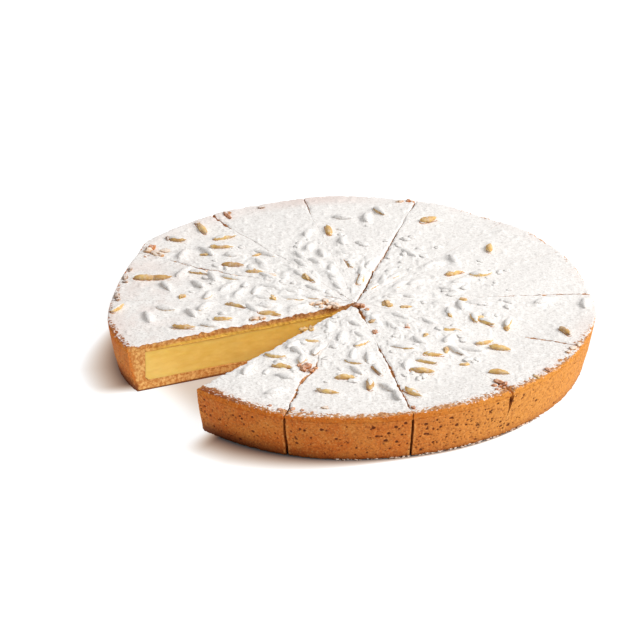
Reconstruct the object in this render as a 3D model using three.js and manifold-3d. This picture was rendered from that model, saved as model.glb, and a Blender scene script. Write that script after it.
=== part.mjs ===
// A round pine nut custard tart, cut from rim to middle into portions, with one portion taken
// out. Each portion is a pastry shell (base and outer wall in one), the custard that fills it,
// and a pastry lid with the pine nuts baked on. Millimetres, +Z up; the origin is on the table,
// under the middle of the base.
import * as THREE from 'three';
import { mergeVertices } from 'three/addons/utils/BufferGeometryUtils.js';
import Module from 'manifold-3d';

// Driving dimensions of the tart.
const tartRadius = 140; // outer edge of the lid
const footRadius = 134; // outer edge of the base: the wall leans out, as its tin did
const tartHeight = 29.5; // top of the rim
const wallThickness = 11;
const baseThickness = 6;
const lidThickness = 5; // over the custard
const lidEdge = 3.4; // where the lid lies on the wall
const layerGap = 0.3; // between shell, custard and lid

// The knife cuts: where each meets the rim, in degrees anticlockwise from +X seen from above.
// The portion between the last mark and the first is the one that is out.
const cutMarks = [230.5, 254, 284, 310, 338, 366, 389, 410, 434, 462, 487, 514, 540, 565];
const cutCentre = new THREE.Vector2(2, -2); // the point that the cuts run to
const kerf = 0.9; // width of a cut
const columns = 7; // facets round the rim of each portion
const lidRings = [0.88, 0.66, 0.44, 0.22]; // rings of facets on the lid, in tart radii

// Heights worked out from those.
const wallTop = tartHeight - lidEdge - layerGap;
const lidUnderside = tartHeight - lidThickness; // over the custard
const custardTop = lidUnderside - layerGap;
const custardBottom = baseThickness + layerGap;

// The rounded edges.
const footRound = 2; // bottom outer corner
const rimRound = 1.6; // top outer corner
const fillet = 2; // inside corner of the shell
const wallBulge = 0.5; // how far the wall's middle stands out from a straight line

// Unevenness. The rim's waves go in and out round the tart: how many, how far, and their phase.
const rimWaves = [[2, 0.7, -2.9], [3, 0.55, 1.2], [5, 0.6, -2.6], [6, 0.55, -0.8], [7, 0.6, -3.1]];
// Where a stretch of the rim stands out or in: at which angle, how widely, both in degrees, and
// by how much.
const rimBulges = [[194, 12, 3.2], [66, 8, 2.2], [44, 9, 1.4], [-2, 8, 1.4], [134, 8, -1.8], [148, 4, 2.2]];
// Where the rim swells up or sinks, in the same way.
const rimSwells = [[257, 6, -1.3], [283, 13, 1], [308, 8, 0.4], [236, 6, 0.4], [140, 14, 0.6]];
const swellFade = 8; // power with which the swells fade from the rim inwards
const lidSag = 0.3; // how far the middle of the lid has sunk
// Broad and finer unevenness of the lid: its size, its span along X and Y, and its phases.
const lidWave = { size: 0.45, spanX: 21, spanY: 24, phaseX: 0.7, phaseY: 1.9 };
const lidRipple = { size: 0.3, spanX: 11, spanY: 14 };

// Pine nuts.
const nutLength = [11, 14.5]; // shortest and longest
const nutWidth = [4, 4.9];
const nutFlatness = 0.86; // thickness over width
const nutSides = 6;
const nutTaper = 0.35; // how much narrower a nut's ends are, in widths
const nutTilt = 5; // steepest slope of a nut, in degrees
const nutStandOut = 0.3; // how far its middle is above the lid, in widths
const nutClear = 0.5; // least distance from a nut to the face of a cut
const nutSpacing = 8.5; // least distance between the middles of two nuts
const rimMargin = 2.5; // least distance from a nut to the rim

// The nuts that stand out most, by eye: x and y in tart radii, and heading in degrees.
const chosenNuts = [
  [-0.64, 0.66, 113], [-0.74, 0.55, -12], [-0.55, 0.49, 0], [-0.5, 0.32, -5], [-0.86, 0.2, 0],
  [-0.48, -0.05, -25], [-0.53, -0.17, 3], [-0.69, -0.25, -3], [-0.77, -0.08, -14],
  [-0.4, 0.08, 80], [-0.61, -0.06, 60], [-0.34, -0.12, -12], [-0.4, 0.26, -5],
  [-0.64, 0.25, -14], [-0.5, 0.2, -14], [-0.35, 0.21, -42], [-0.54, 0.58, 15], [-0.18, 0.2, -57],
  [-0.1, 0.66, 98], [-0.19, 0.63, 70], [-0.04, 0.78, -14], [0.06, 0.78, 88], [0.12, 0.84, -60],
  [0.33, 0.76, 27], [0.58, 0.5, 88], [0.43, 0.26, 30], [0.54, 0.25, 10], [0.33, 0.33, 35],
  [0.24, 0.45, -50], [-0.15, 0.35, -50], [-0.17, -0.36, -7], [-0.31, -0.49, -9],
  [-0.28, -0.58, -9], [-0.22, -0.45, -55], [-0.03, -0.67, -3], [0.07, -0.73, 92],
  [-0.1, -0.79, -17], [0.1, -0.61, -65], [0.28, -0.61, -13], [0.3, -0.53, -19],
  [0.42, -0.43, -50], [0, -0.47, 80], [0.01, -0.54, -20], [0.24, -0.79, -45], [0.4, -0.1, -80],
  [0.41, -0.25, 3], [0.55, -0.18, -36], [0.64, -0.17, 75], [0.54, -0.35, 29], [0.6, -0.4, -14],
  [0.59, -0.62, -10], [0.87, -0.26, -60], [0.96, 0, 90], [0.52, -0.01, 0], [0.45, -0.04, -80],
  [0.27, -0.36, -50], [-0.965, -0.085, 60], [-0.8, 0.2, 0], [-0.77, 0.12, -65],
  [0.5, -0.14, 100], [0.33, -0.47, 0],
];

// The rest are strewn by a rule, mostly over the inner half of the lid.
const strewnTries = 420;
const strewnReach = 0.86; // how far out they go, in tart radii
const crowding = 0.78; // power of the spread: 0.5 would be even, more is denser in the middle
const goldenAngle = Math.PI * (3 - Math.sqrt(5));
const angleSpread = 0.5; // how far a strewn nut may stray from the golden spiral, in radians
// Chance that a strewn nut is kept: at the middle, its fall outwards and towards the back right,
// and its least value.
const keptChance = { middle: 2, outwards: 2.5, backRight: 0.6, least: 0.04 };
const backRight = new THREE.Vector2(0.8, 0.6);

const lerp = THREE.MathUtils.lerp;
const radians = THREE.MathUtils.degToRad;

// A fixed sequence of draws between 0 and 1.
function draw(seed) {
  const value = Math.sin(seed * 12.9898 + 4.1414) * 43758.5453;
  return value - Math.floor(value);
}

// Sum of the humps of a list, each given as angle, width and size, at an angle in radians.
function humps(list, angle) {
  let sum = 0;
  for (const [at, width, size] of list) {
    const away = THREE.MathUtils.euclideanModulo(THREE.MathUtils.radToDeg(angle) - at + 180, 360);
    sum += size * Math.exp(-(((away - 180) / width) ** 2));
  }
  return sum;
}

// How far the rim stands in or out of a true circle.
function rimWaver(angle) {
  let waver = humps(rimBulges, angle);
  for (const [count, size, phase] of rimWaves) waver += size * Math.sin(count * angle + phase);
  return waver;
}

// Outer radius of the side at a height.
function sideRadius(angle, height) {
  const share = height / tartHeight;
  const bulge = wallBulge * Math.sin(Math.PI * share);
  return lerp(footRadius, tartRadius, share) + bulge + rimWaver(angle);
}

// Height of the lid's top: it sinks a little towards the middle and is gently uneven.
function topHeight(x, y) {
  const out = Math.min(1, Math.hypot(x, y) / tartRadius);
  const sag = lidSag * (1 - out * out);
  const { phaseX, phaseY } = lidWave;
  const wave = Math.sin(x / lidWave.spanX + phaseX) * Math.cos(y / lidWave.spanY + phaseY);
  const ripple = Math.sin(x / lidRipple.spanX - y / lidRipple.spanY);
  const uneven = lidWave.size * wave + lidRipple.size * ripple;
  return tartHeight - sag + uneven + humps(rimSwells, Math.atan2(y, x)) * out ** swellFade;
}

// Distance from the cut centre, along a direction, to a circle round the origin.
function reachTo(radius, angle) {
  const along = cutCentre.x * Math.cos(angle) + cutCentre.y * Math.sin(angle);
  return Math.sqrt(along * along - cutCentre.lengthSq() + radius * radius) - along;
}

// Direction of a cut, seen from the cut centre, as an angle that only grows.
function cutDirection(mark) {
  const x = tartRadius * Math.cos(radians(mark)) - cutCentre.x;
  const y = tartRadius * Math.sin(radians(mark)) - cutCentre.y;
  const angle = Math.atan2(y, x);
  const turns = Math.round((radians(mark) - angle) / (2 * Math.PI));
  return angle + 2 * Math.PI * turns;
}

const cuts = cutMarks.map(cutDirection);

// A point of a portion: share runs from 0 at its first cut to 1 at its second.
function portionPoint(portion, share, reach, height) {
  const distance = reach(lerp(portion.from, portion.to, share));
  const inset = Math.asin(kerf / 2 / distance);
  const angle = lerp(portion.from + inset, portion.to - inset, share);
  const x = cutCentre.x + distance * Math.cos(angle);
  const y = cutCentre.y + distance * Math.sin(angle);
  return [x, y, typeof height === 'function' ? height(x, y) : height];
}

// The inner tip of a portion, where the faces of its two cuts meet.
function portionTip(portion, height) {
  const half = (portion.to - portion.from) / 2;
  const distance = kerf / 2 / Math.sin(half);
  const angle = portion.from + half;
  const x = cutCentre.x + distance * Math.cos(angle);
  const y = cutCentre.y + distance * Math.sin(angle);
  return [x, y, typeof height === 'function' ? height(x, y) : height];
}

// Sweeps an outline across a portion. The outline is a list of [reach, height] rows that runs
// out along the bottom, up the side and back in along the top, between the two heights of the tip.
function sweepPortion(portion, tipBottom, rows, tipTop) {
  const points = [portionTip(portion, tipBottom), portionTip(portion, tipTop)];
  const rings = [new Array(columns + 1).fill(0)];
  for (const [reach, height] of rows) {
    const ring = [];
    for (let column = 0; column <= columns; column++) {
      ring.push(points.length);
      points.push(portionPoint(portion, column / columns, reach, height));
    }
    rings.push(ring);
  }
  rings.push(new Array(columns + 1).fill(1));

  const triangles = [];
  for (let row = 0; row + 1 < rings.length; row++) {
    const inner = rings[row];
    const outer = rings[row + 1];
    for (let column = 0; column < columns; column++) {
      const corners = [inner[column], outer[column], outer[column + 1], inner[column + 1]];
      if (corners[1] !== corners[2]) triangles.push([corners[0], corners[2], corners[1]]);
      if (corners[0] !== corners[3]) triangles.push([corners[0], corners[3], corners[2]]);
    }
  }

  // The two cut faces: the outline itself, laid flat as distance from the cut centre and height.
  for (const column of [0, columns]) {
    const outline = rings.map((ring) => ring[column]);
    const flat = outline.map((index) => {
      const [x, y, z] = points[index];
      return new THREE.Vector2(Math.hypot(x - cutCentre.x, y - cutCentre.y), z);
    });
    for (const [a, b, c] of THREE.ShapeUtils.triangulateShape(flat, [])) {
      const turn = THREE.ShapeUtils.area([flat[a], flat[b], flat[c]]);
      const forward = (turn > 0) === (column === 0);
      const face = [outline[a], outline[b], outline[c]];
      triangles.push(forward ? face : face.reverse());
    }
  }
  return { points, triangles };
}

function toGeometry(points, triangles) {
  const geometry = new THREE.BufferGeometry();
  geometry.setAttribute('position', new THREE.Float32BufferAttribute(points.flat(), 3));
  geometry.setIndex(triangles.flat());
  geometry.computeVertexNormals();
  return geometry;
}

// Rows of an outline at a distance inside the side, at one height.
function insideSide(inset, height) {
  return [(angle) => reachTo(sideRadius(angle, height) - inset, angle), height];
}

// Base and outer wall of one portion.
function shellGeometry(portion) {
  const innerRadius = (angle) => sideRadius(angle, wallTop) - wallThickness;
  const rows = [
    insideSide(footRound, 0),
    insideSide(footRound * 0.25, footRound * 0.6),
    insideSide(0, wallTop * 0.25),
    insideSide(0, wallTop * 0.5),
    insideSide(0, wallTop * 0.75),
    insideSide(0, wallTop),
    insideSide(wallThickness, wallTop),
    [(angle) => reachTo(innerRadius(angle), angle), baseThickness + fillet],
    [(angle) => reachTo(innerRadius(angle) - fillet, angle), baseThickness],
  ];
  const { points, triangles } = sweepPortion(portion, 0, rows, baseThickness);
  return toGeometry(points, triangles);
}

// The custard of one portion, from the base up to the lid.
function custardGeometry(portion) {
  const side = (angle) => sideRadius(angle, wallTop) - wallThickness - layerGap;
  const rows = [
    [(angle) => reachTo(side(angle) - fillet, angle), custardBottom],
    [(angle) => reachTo(side(angle), angle), custardBottom + fillet],
    [(angle) => reachTo(side(angle), angle), custardTop],
  ];
  const { points, triangles } = sweepPortion(portion, custardBottom, rows, custardTop);
  return toGeometry(points, triangles);
}

// The lid of one portion: it drops over the custard and lies on the wall at the rim.
function bareLid(portion) {
  const edge = wallTop + layerGap;
  const inner = (angle) => sideRadius(angle, wallTop) - wallThickness - layerGap;
  const lowered = (x, y) => topHeight(x, y) - rimRound * 0.7;
  const onTop = (share) => [(angle) => reachTo(tartRadius * share, angle), topHeight];
  const rows = [
    [(angle) => reachTo(inner(angle), angle), lidUnderside],
    [(angle) => reachTo(inner(angle), angle), edge],
    insideSide(0, edge),
    [(angle) => reachTo(sideRadius(angle, tartHeight) - rimRound * 0.2, angle), lowered],
    [(angle) => reachTo(sideRadius(angle, tartHeight) - rimRound, angle), topHeight],
    ...lidRings.map(onTop),
  ];
  return sweepPortion(portion, lidUnderside, rows, topHeight);
}

// Where along a nut its two rings of facets are, and how wide they are, in halves.
const nutRings = [
  { along: -0.46, girth: 1 },
  { along: 0.36, girth: 0.8 },
];

// A pine nut, lying: blunt behind, pointed in front.
function nutGeometry(nut) {
  const half = nut.length / 2;
  const points = [[-half, 0, 0]];
  for (const ring of nutRings) {
    for (let side = 0; side < nutSides; side++) {
      const turn = (2 * Math.PI * (side + 0.5)) / nutSides;
      const girth = (nut.width / 2) * ring.girth;
      points.push([half * ring.along, girth * Math.cos(turn), girth * nutFlatness * Math.sin(turn)]);
    }
  }
  points.push([half, 0, 0]);
  const front = points.length - 1;
  const triangles = [];
  for (let side = 0; side < nutSides; side++) {
    const next = (side + 1) % nutSides;
    const [a, b] = [1 + side, 1 + next];
    const [c, d] = [a + nutSides, b + nutSides];
    triangles.push([0, b, a], [a, b, d], [a, d, c], [c, d, front]);
  }
  const geometry = toGeometry(points, triangles);
  geometry.rotateY(-nut.pitch);
  geometry.rotateZ(nut.heading);
  const lift = nutStandOut * nut.width;
  geometry.translate(nut.x, nut.y, topHeight(nut.x, nut.y) + lift);
  return geometry;
}

// Distance from a point to the nearest cut.
function distanceToCuts(x, y) {
  let nearest = Infinity;
  for (const angle of cuts) {
    const along = (x - cutCentre.x) * Math.cos(angle) + (y - cutCentre.y) * Math.sin(angle);
    const across = (y - cutCentre.y) * Math.cos(angle) - (x - cutCentre.x) * Math.sin(angle);
    nearest = Math.min(nearest, along > 0 ? Math.abs(across) : Math.hypot(along, across));
  }
  return nearest;
}

// The portion that a point is in, or -1 in the gap.
function portionAt(x, y) {
  let angle = Math.atan2(y - cutCentre.y, x - cutCentre.x);
  while (angle < cuts[0]) angle += 2 * Math.PI;
  for (let index = 0; index + 1 < cuts.length; index++) {
    if (angle < cuts[index + 1]) return index;
  }
  return -1;
}

// A nut fits where it is clear of the cuts, the rim and the nuts already there.
function nutFits(nut, others) {
  const half = nut.length / 2;
  const room = nut.width / 2 + kerf / 2 + nutClear;
  for (const end of [-1, -0.5, 0, 0.5, 1]) {
    const x = nut.x + end * half * Math.cos(nut.heading);
    const y = nut.y + end * half * Math.sin(nut.heading);
    const taper = Math.abs(end) === 1 ? nut.width * nutTaper : 0;
    if (distanceToCuts(x, y) < room - taper) return false;
    const rim = sideRadius(Math.atan2(y, x), tartHeight);
    if (Math.hypot(x, y) > rim - rimMargin) return false;
  }
  if (portionAt(nut.x, nut.y) < 0) return false;
  return others.every((other) => Math.hypot(nut.x - other.x, nut.y - other.y) > nutSpacing);
}

function makeNut(seed, x, y, heading) {
  return {
    x,
    y,
    heading,
    length: lerp(nutLength[0], nutLength[1], draw(seed)),
    width: lerp(nutWidth[0], nutWidth[1], draw(seed + 0.25)),
    pitch: radians(nutTilt * (2 * draw(seed + 0.5) - 1)),
  };
}

// How likely a strewn nut is kept: sure in the middle, rarer outside, rarest at the back right.
function strewnChance(x, y) {
  const out = Math.hypot(x, y) / tartRadius;
  const across = (x * backRight.x + y * backRight.y) / tartRadius;
  const { middle, outwards, least } = keptChance;
  return THREE.MathUtils.clamp(middle - outwards * out - keptChance.backRight * across, least, 1);
}

function layNuts() {
  const nuts = [];
  chosenNuts.forEach(([x, y, heading], index) => {
    const nut = makeNut(index + 1, x * tartRadius, y * tartRadius, radians(heading));
    const portion = portionAt(nut.x, nut.y);
    const middle = (cuts[portion] + cuts[portion + 1]) / 2;
    if (!nutFits(nut, [])) nut.heading = middle;
    if (nutFits(nut, [])) nuts.push(nut);
  });
  for (let index = 0; index < strewnTries; index++) {
    const seed = 100 + index * 3;
    const share = (index + draw(seed)) / strewnTries;
    const out = tartRadius * strewnReach * share ** crowding;
    const angle = index * goldenAngle + angleSpread * (draw(seed + 1) - 0.5);
    const x = out * Math.cos(angle);
    const y = out * Math.sin(angle);
    const nut = makeNut(seed + 0.1, x, y, Math.PI * draw(seed + 2));
    if (draw(seed + 0.7) > strewnChance(x, y)) continue;
    if (!nutFits(nut, nuts)) nut.heading = angle;
    if (nutFits(nut, nuts)) nuts.push(nut);
  }
  return nuts;
}

const wasm = await Module();
wasm.setup();

function toSolid(geometry) {
  const bare = geometry.clone();
  bare.deleteAttribute('normal');
  const merged = mergeVertices(bare, 1e-4);
  const vertProperties = Float32Array.from(merged.attributes.position.array);
  const triVerts = Uint32Array.from(merged.index.array);
  return new wasm.Manifold(new wasm.Mesh({ numProp: 3, vertProperties, triVerts }));
}

function fromSolid(solid) {
  const mesh = solid.getMesh();
  const geometry = new THREE.BufferGeometry();
  geometry.setAttribute('position', new THREE.BufferAttribute(mesh.vertProperties, 3));
  geometry.setIndex(new THREE.BufferAttribute(mesh.triVerts, 1));
  geometry.computeVertexNormals();
  return geometry;
}

function lidGeometry(portion, nuts) {
  const { points, triangles } = bareLid(portion);
  let lid = toSolid(toGeometry(points, triangles));
  for (const nut of nuts) lid = lid.add(toSolid(nutGeometry(nut)));
  return fromSolid(lid);
}

// A named mesh with its own material.
function piece(name, geometry, colour, roughness) {
  const material = new THREE.MeshStandardMaterial({ color: colour, roughness, metalness: 0 });
  const mesh = new THREE.Mesh(geometry, material);
  mesh.name = name;
  return mesh;
}

const tart = new THREE.Group();
const allNuts = layNuts();
for (let index = 0; index + 1 < cuts.length; index++) {
  const portion = { from: cuts[index], to: cuts[index + 1] };
  const nuts = allNuts.filter((nut) => portionAt(nut.x, nut.y) === index);
  const number = String(index + 1).padStart(2, '0');
  tart.add(piece(`shell_${number}`, shellGeometry(portion), 0xc27a3c, 0.85));
  tart.add(piece(`custard_${number}`, custardGeometry(portion), 0xe8c55c, 0.45));
  tart.add(piece(`lid_${number}`, lidGeometry(portion, nuts), 0xf1ece6, 0.95));
}

export default tart;
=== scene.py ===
"""Looks of a pine nut custard tart that is cut into portions, with one portion taken out.

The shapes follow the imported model: the same radius, cuts, wavers and nuts, made finer. Sizes are
in millimetres and become metres when a mesh is made.
"""
import math
from functools import partialmethod
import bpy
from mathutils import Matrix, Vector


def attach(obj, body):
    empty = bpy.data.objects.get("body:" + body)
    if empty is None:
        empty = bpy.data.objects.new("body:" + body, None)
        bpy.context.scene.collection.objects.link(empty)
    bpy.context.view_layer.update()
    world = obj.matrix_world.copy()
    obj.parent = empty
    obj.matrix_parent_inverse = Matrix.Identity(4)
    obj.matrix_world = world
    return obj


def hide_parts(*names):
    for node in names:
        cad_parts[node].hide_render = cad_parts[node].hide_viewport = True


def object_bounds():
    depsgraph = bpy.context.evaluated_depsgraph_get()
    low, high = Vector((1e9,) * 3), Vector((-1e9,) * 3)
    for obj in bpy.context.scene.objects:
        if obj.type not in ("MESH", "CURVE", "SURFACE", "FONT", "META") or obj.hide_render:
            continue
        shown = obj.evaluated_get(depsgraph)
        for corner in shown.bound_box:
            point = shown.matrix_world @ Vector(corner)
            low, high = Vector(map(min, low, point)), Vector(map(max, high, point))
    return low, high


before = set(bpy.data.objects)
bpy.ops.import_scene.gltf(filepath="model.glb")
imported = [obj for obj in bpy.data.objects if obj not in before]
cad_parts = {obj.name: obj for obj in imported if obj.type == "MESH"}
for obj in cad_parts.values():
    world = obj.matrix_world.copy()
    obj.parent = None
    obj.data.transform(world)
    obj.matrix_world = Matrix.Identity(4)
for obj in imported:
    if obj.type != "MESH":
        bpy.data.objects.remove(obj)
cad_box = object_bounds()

from types import SimpleNamespace

import bpy
import numpy as np
from mathutils import Matrix, Vector
from mathutils.geometry import delaunay_2d_cdt

MM = 0.001
HAIR = 0.00002  # everything stays at least this far inside the model's box, in metres

# ---------------- sizes of the tart

TART_RADIUS = 140.0
FOOT_RADIUS = 134.0
TART_HEIGHT = 29.5
WALL_THICKNESS = 11.0
BASE_THICKNESS = 6.0
LID_THICKNESS = 5.0
LID_EDGE = 3.4
LAYER_GAP = 0.3
SEAM = 0.06  # what is left of the gap between lid and wall, seen from outside
WALL_TOP = TART_HEIGHT - LID_EDGE - LAYER_GAP
LID_FOOT = WALL_TOP + SEAM  # where the lid's side begins
LID_UNDERSIDE = TART_HEIGHT - LID_THICKNESS
CUSTARD_TOP = LID_UNDERSIDE - LAYER_GAP
CUSTARD_BOTTOM = BASE_THICKNESS + LAYER_GAP
CUSTARD_SPREAD = 0.2  # how far it spreads into the gaps above and below it
FOOT_ROUND = 2.0
FILLET = 2.0
WALL_BULGE = 0.5

CUT_MARKS = [230.5, 254, 284, 310, 338, 366, 389, 410, 434, 462, 487, 514, 540, 565]
CUT_CENTRE = (2.0, -2.0)
KERF = 0.9
TIP = 0.6  # distance of a portion's inner tip from the cut centre

# Waves of the rim: how many go round it, size and phase. Bulges of the rim and swells of its
# top: angle and width in degrees, and size.
RIM_WAVES = [(2, 0.7, -2.9), (3, 0.55, 1.2), (5, 0.6, -2.6), (6, 0.55, -0.8), (7, 0.6, -3.1)]
RIM_BULGES = [(194, 12, 3.2), (66, 8, 2.2), (44, 9, 1.4), (-2, 8, 1.4), (134, 8, -1.8), (148, 4, 2.2)]
RIM_SWELLS = [(257, 6, -1.3), (283, 13, 1), (308, 8, 0.4), (236, 6, 0.4), (140, 14, 0.6)]
SWELL_FADE = 8
LID_SAG = 0.3
LID_WAVE = 0.45
LID_RIPPLE = 0.3
SUGAR_HEAP = 0.9  # how much higher the sugar lies in the middle than at the rim
SUGAR_LIMIT = 32.8  # the sugar lies nowhere higher than this

NUT_LENGTH = (11, 14.5)
NUT_WIDTH = (4, 4.9)
NUT_FLATNESS = 0.86
NUT_TAPER = 0.35
NUT_TILT = 5
NUT_STAND_OUT = 0.3
NUT_CLEAR = 0.5
NUT_SPACING = 8.5
RIM_MARGIN = 2.5
STREWN_SEED = 100
STREWN_TRIES = 420
STREWN_REACH = 0.86
STREWN_BARE = 0.78  # how bare the barest of the strewn nuts is
CROWDING = 0.78
DRIFT_REACH = 14  # no sugar is heaped against a nut farther off than this
GOLDEN_ANGLE = math.pi * (3 - math.sqrt(5))

# How finely the pieces are divided. The first portions face the camera and are finer.
FRONT_PORTIONS = 5
LID_SIDE_ROWS = 8
LID_TOP_ROWS = 200
LID_SIDE = slice(2, LID_SIDE_ROWS + 3)  # the rows of the lid's side
RIM_SHOULDER = [0.28, 0.5, 0.85, 1.35, 2.0]  # how far in from the rim the top's outer rows lie
PORE_SEED = 700
PORE_SHARES = {0: 0.8, 1: 1.1, 2: 1.9}  # how many pores the walls in front have, others 0.7
LID_PITCH, SHELL_PITCH, CUSTARD_PITCH = 0.6, 0.7, 0.9  # of the points inside the open faces

# Nuts at chosen places: x and y in tart radii, and heading in degrees.
CHOSEN_NUTS = [
    [-0.64, 0.66, 113], [-0.74, 0.55, -12], [-0.55, 0.49, 0], [-0.5, 0.32, -5], [-0.86, 0.2, 0],
    [-0.48, -0.05, -25], [-0.53, -0.17, 3], [-0.69, -0.25, -3], [-0.77, -0.08, -14],
    [-0.4, 0.08, 80], [-0.61, -0.06, 60], [-0.34, -0.12, -12], [-0.4, 0.26, -5],
    [-0.64, 0.25, -14], [-0.5, 0.2, -14], [-0.35, 0.21, -42], [-0.54, 0.58, 15], [-0.18, 0.2, -57],
    [-0.1, 0.66, 98], [-0.19, 0.63, 70], [-0.04, 0.78, -14], [0.06, 0.78, 88], [0.12, 0.84, -60],
    [0.33, 0.76, 27], [0.58, 0.5, 88], [0.43, 0.26, 30], [0.54, 0.25, 10], [0.33, 0.33, 35],
    [0.24, 0.45, -50], [-0.15, 0.35, -50], [-0.17, -0.36, -7], [-0.31, -0.49, -9],
    [-0.28, -0.58, -9], [-0.22, -0.45, -55], [-0.03, -0.67, -3], [0.07, -0.73, 92],
    [-0.1, -0.79, -17], [0.1, -0.61, -65], [0.28, -0.61, -13], [0.3, -0.53, -19],
    [0.42, -0.43, -50], [0, -0.47, 80], [0.01, -0.54, -20], [0.24, -0.79, -45], [0.4, -0.1, -80],
    [0.41, -0.25, 3], [0.55, -0.18, -36], [0.64, -0.17, 75], [0.54, -0.35, 29], [0.6, -0.4, -14],
    [0.59, -0.62, -10], [0.87, -0.26, -60], [0.96, 0, 90], [0.52, -0.01, 0], [0.45, -0.04, -80],
    [0.27, -0.36, -50], [-0.965, -0.085, 60], [-0.8, 0.2, 0], [-0.77, 0.12, -65],
    [0.5, -0.14, 100], [0.33, -0.47, 0],
]

# How bare each of the chosen nuts is, in the same order: 1 has no sugar, 0 is all sugar.
BARE = [
    1, 0.75, 0.8, 0.95, 1, 0.8, 0.85, 0.9, 0.3, 0.5, 0.35, 0.9, 0.8, 0.6, 0.55, 0.4, 0.75, 0.8, 1, 0.1,
    0.15, 0.1, 0.6, 0.95, 1, 0.8, 0.6, 0.1, 0.15, 0.15, 0.85, 0.7, 0.85, 0.3, 0.9, 0.85, 0.85, 0.75,
    0.9, 0.7, 0.35, 0.3, 0.6, 0.85, 0.3, 0.8, 0.75, 0.7, 0.85, 0.95, 0.9, 0.95, 0.05, 0.35, 0.3, 0.3,
    0.85, 0.95, 0.3, 0.75, 0.85,
]

# How open each cut looks on the lid: pairs of distance from the middle, in tart radii, and half
# width in millimetres. The sugar hides most of some cuts. SLIT is the share of that width that is
# open all the way down, and the rest is a groove in the sugar.
SHUT = 0.04
SLIT = 0.6
SLIT_DEPTH = 2.2  # the slit narrows over this depth
CUT_LOOKS = [
    [(0, 0.45), (1, 0.45)],
    [(0, 0), (0.36, 0), (0.45, 0.3), (0.6, 0.45), (0.95, 0.6), (1, 0.75)],
    [(0, 0.1), (0.03, 0.8), (0.1, 0.95), (0.16, 0.7), (0.21, 0), (0.36, 0), (0.42, 0.5), (0.9, 0.55),
     (0.94, 0.05), (0.96, 0.1), (0.98, 0.5), (1, 0.7)],
    [(0, 0), (0.82, 0), (0.88, 0.35), (0.93, 1.0), (1, 1.8)],
    [(0, 0), (0.7, 0), (0.76, 0.45), (0.93, 0.5), (1, 0.15)],
    [(0, 0), (0.5, 0.05), (0.6, 0.3), (0.74, 0.5), (0.84, 0.4), (0.9, 0.6), (0.96, 0.6), (1, 0.2)],
    [(0, 0), (0.93, 0), (1, 0.2)],
    [(0, 0), (0.93, 0), (1, 0.15)],
    [(0, 0.2), (0.05, 0.6), (0.12, 0.85), (0.5, 0.8), (0.68, 0.55), (0.8, 0.3), (0.88, 0.02),
     (0.93, 0.6), (1, 0.6)],
    [(0, 0), (0.84, 0), (0.88, 0.4), (0.95, 0.55), (1, 0.5)],
    [(0, 0.1), (0.1, 0.35), (0.2, 0), (0.45, 0), (0.5, 0.2), (0.8, 0.2), (0.86, 0.05),
     (0.9, 0.7), (0.97, 0.8), (1, 0.5)],
    [(0, 0.1), (0.1, 0.35), (0.2, 0), (0.42, 0), (0.5, 0.3), (0.6, 0.5), (0.84, 0.55),
     (0.88, 0), (1, 0.2)],
    [(0, 0), (0.95, 0), (1, 0.15)],
    [(0, 0.45), (1, 0.45)],
]
# How far each cut strays from a straight line, and the heights between which the wall opens.
CUT_STRAY = [0.3, 1.3, 0.6, 0.8, 0.6, 0.7, 0.5, 0.5, 0.5, 0.6, 0.6, 1.3, 0.5, 0.3]
WALL_OPENS = [(-9, -8), (-9, -8), (-9, -8), (12, 27), (22, 28), (24, 28), (24, 28), (24, 28),
              (16, 26), (14, 26), (8, 26), (16, 26), (24, 28), (-9, -8)]
# How much sugar is missing beside each cut.
CUT_BARE = [0, 1, 1, 1, 1, 0.9, 0.5, 0.5, 0.5, 0.7, 0.9, 0.8, 0.5, 0]
WALL_LEAN = {3: 0.1}  # how far a cut in the wall slants, sideways for each millimetre up
WALL_SHALLOW = {3: (131, 134.5)}  # a cut that is open in the outer part of the wall only


# ---------------- noise and small helpers

def lattice(ix, iy, iz, seed):
    """A fixed draw between 0 and 1 for each whole-numbered point."""
    h = ix.astype(np.int64) * 374761393 + iy.astype(np.int64) * 668265263
    h = (h + iz.astype(np.int64) * 2147483647 + seed * 974634777) & 0xFFFFFFFF
    h = ((h ^ (h >> 13)) * 1274126177) & 0xFFFFFFFF
    h = ((h ^ (h >> 15)) * 2246822519) & 0xFFFFFFFF
    return (h ^ (h >> 16)) / 4294967296.0


def noise(x, y, z=0.0, size=1.0, seed=0):
    """Smooth noise between -1 and 1, with cells of one size."""
    x, y, z = np.broadcast_arrays(*(np.asarray(place, float) / size for place in (x, y, z)))
    fx, fy, fz = np.floor(x), np.floor(y), np.floor(z)
    tx, ty, tz = x - fx, y - fy, z - fz
    tx, ty, tz = (t * t * t * (t * (6 * t - 15) + 10) for t in (tx, ty, tz))
    total = 0.0
    for dx in (0, 1):
        for dy in (0, 1):
            for dz in (0, 1):
                weight = (tx if dx else 1 - tx) * (ty if dy else 1 - ty) * (tz if dz else 1 - tz)
                total = total + weight * lattice(fx + dx, fy + dy, fz + dz, seed)
    return 2 * total - 1


def layered(x, y, z=0.0, size=1.0, seed=0, octaves=3):
    """Noise with finer and fainter noise on it."""
    x, y, z = (np.asarray(place, float) / size for place in (x, y, z))
    total, strength, scale = 0.0, 1.0, 1.0
    for octave in range(octaves):
        total = total + strength * noise(x * scale, y * scale, z * scale, seed=seed + octave)
        strength *= 0.5
        scale *= 2.1
    return total / 1.5


def smooth(low, high, value):
    """A smooth step from 0 at low to 1 at high."""
    t = np.clip((value - low) / (high - low), 0, 1)
    return t * t * (3 - 2 * t)


def lerp(a, b, t):
    return a + (b - a) * t


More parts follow.
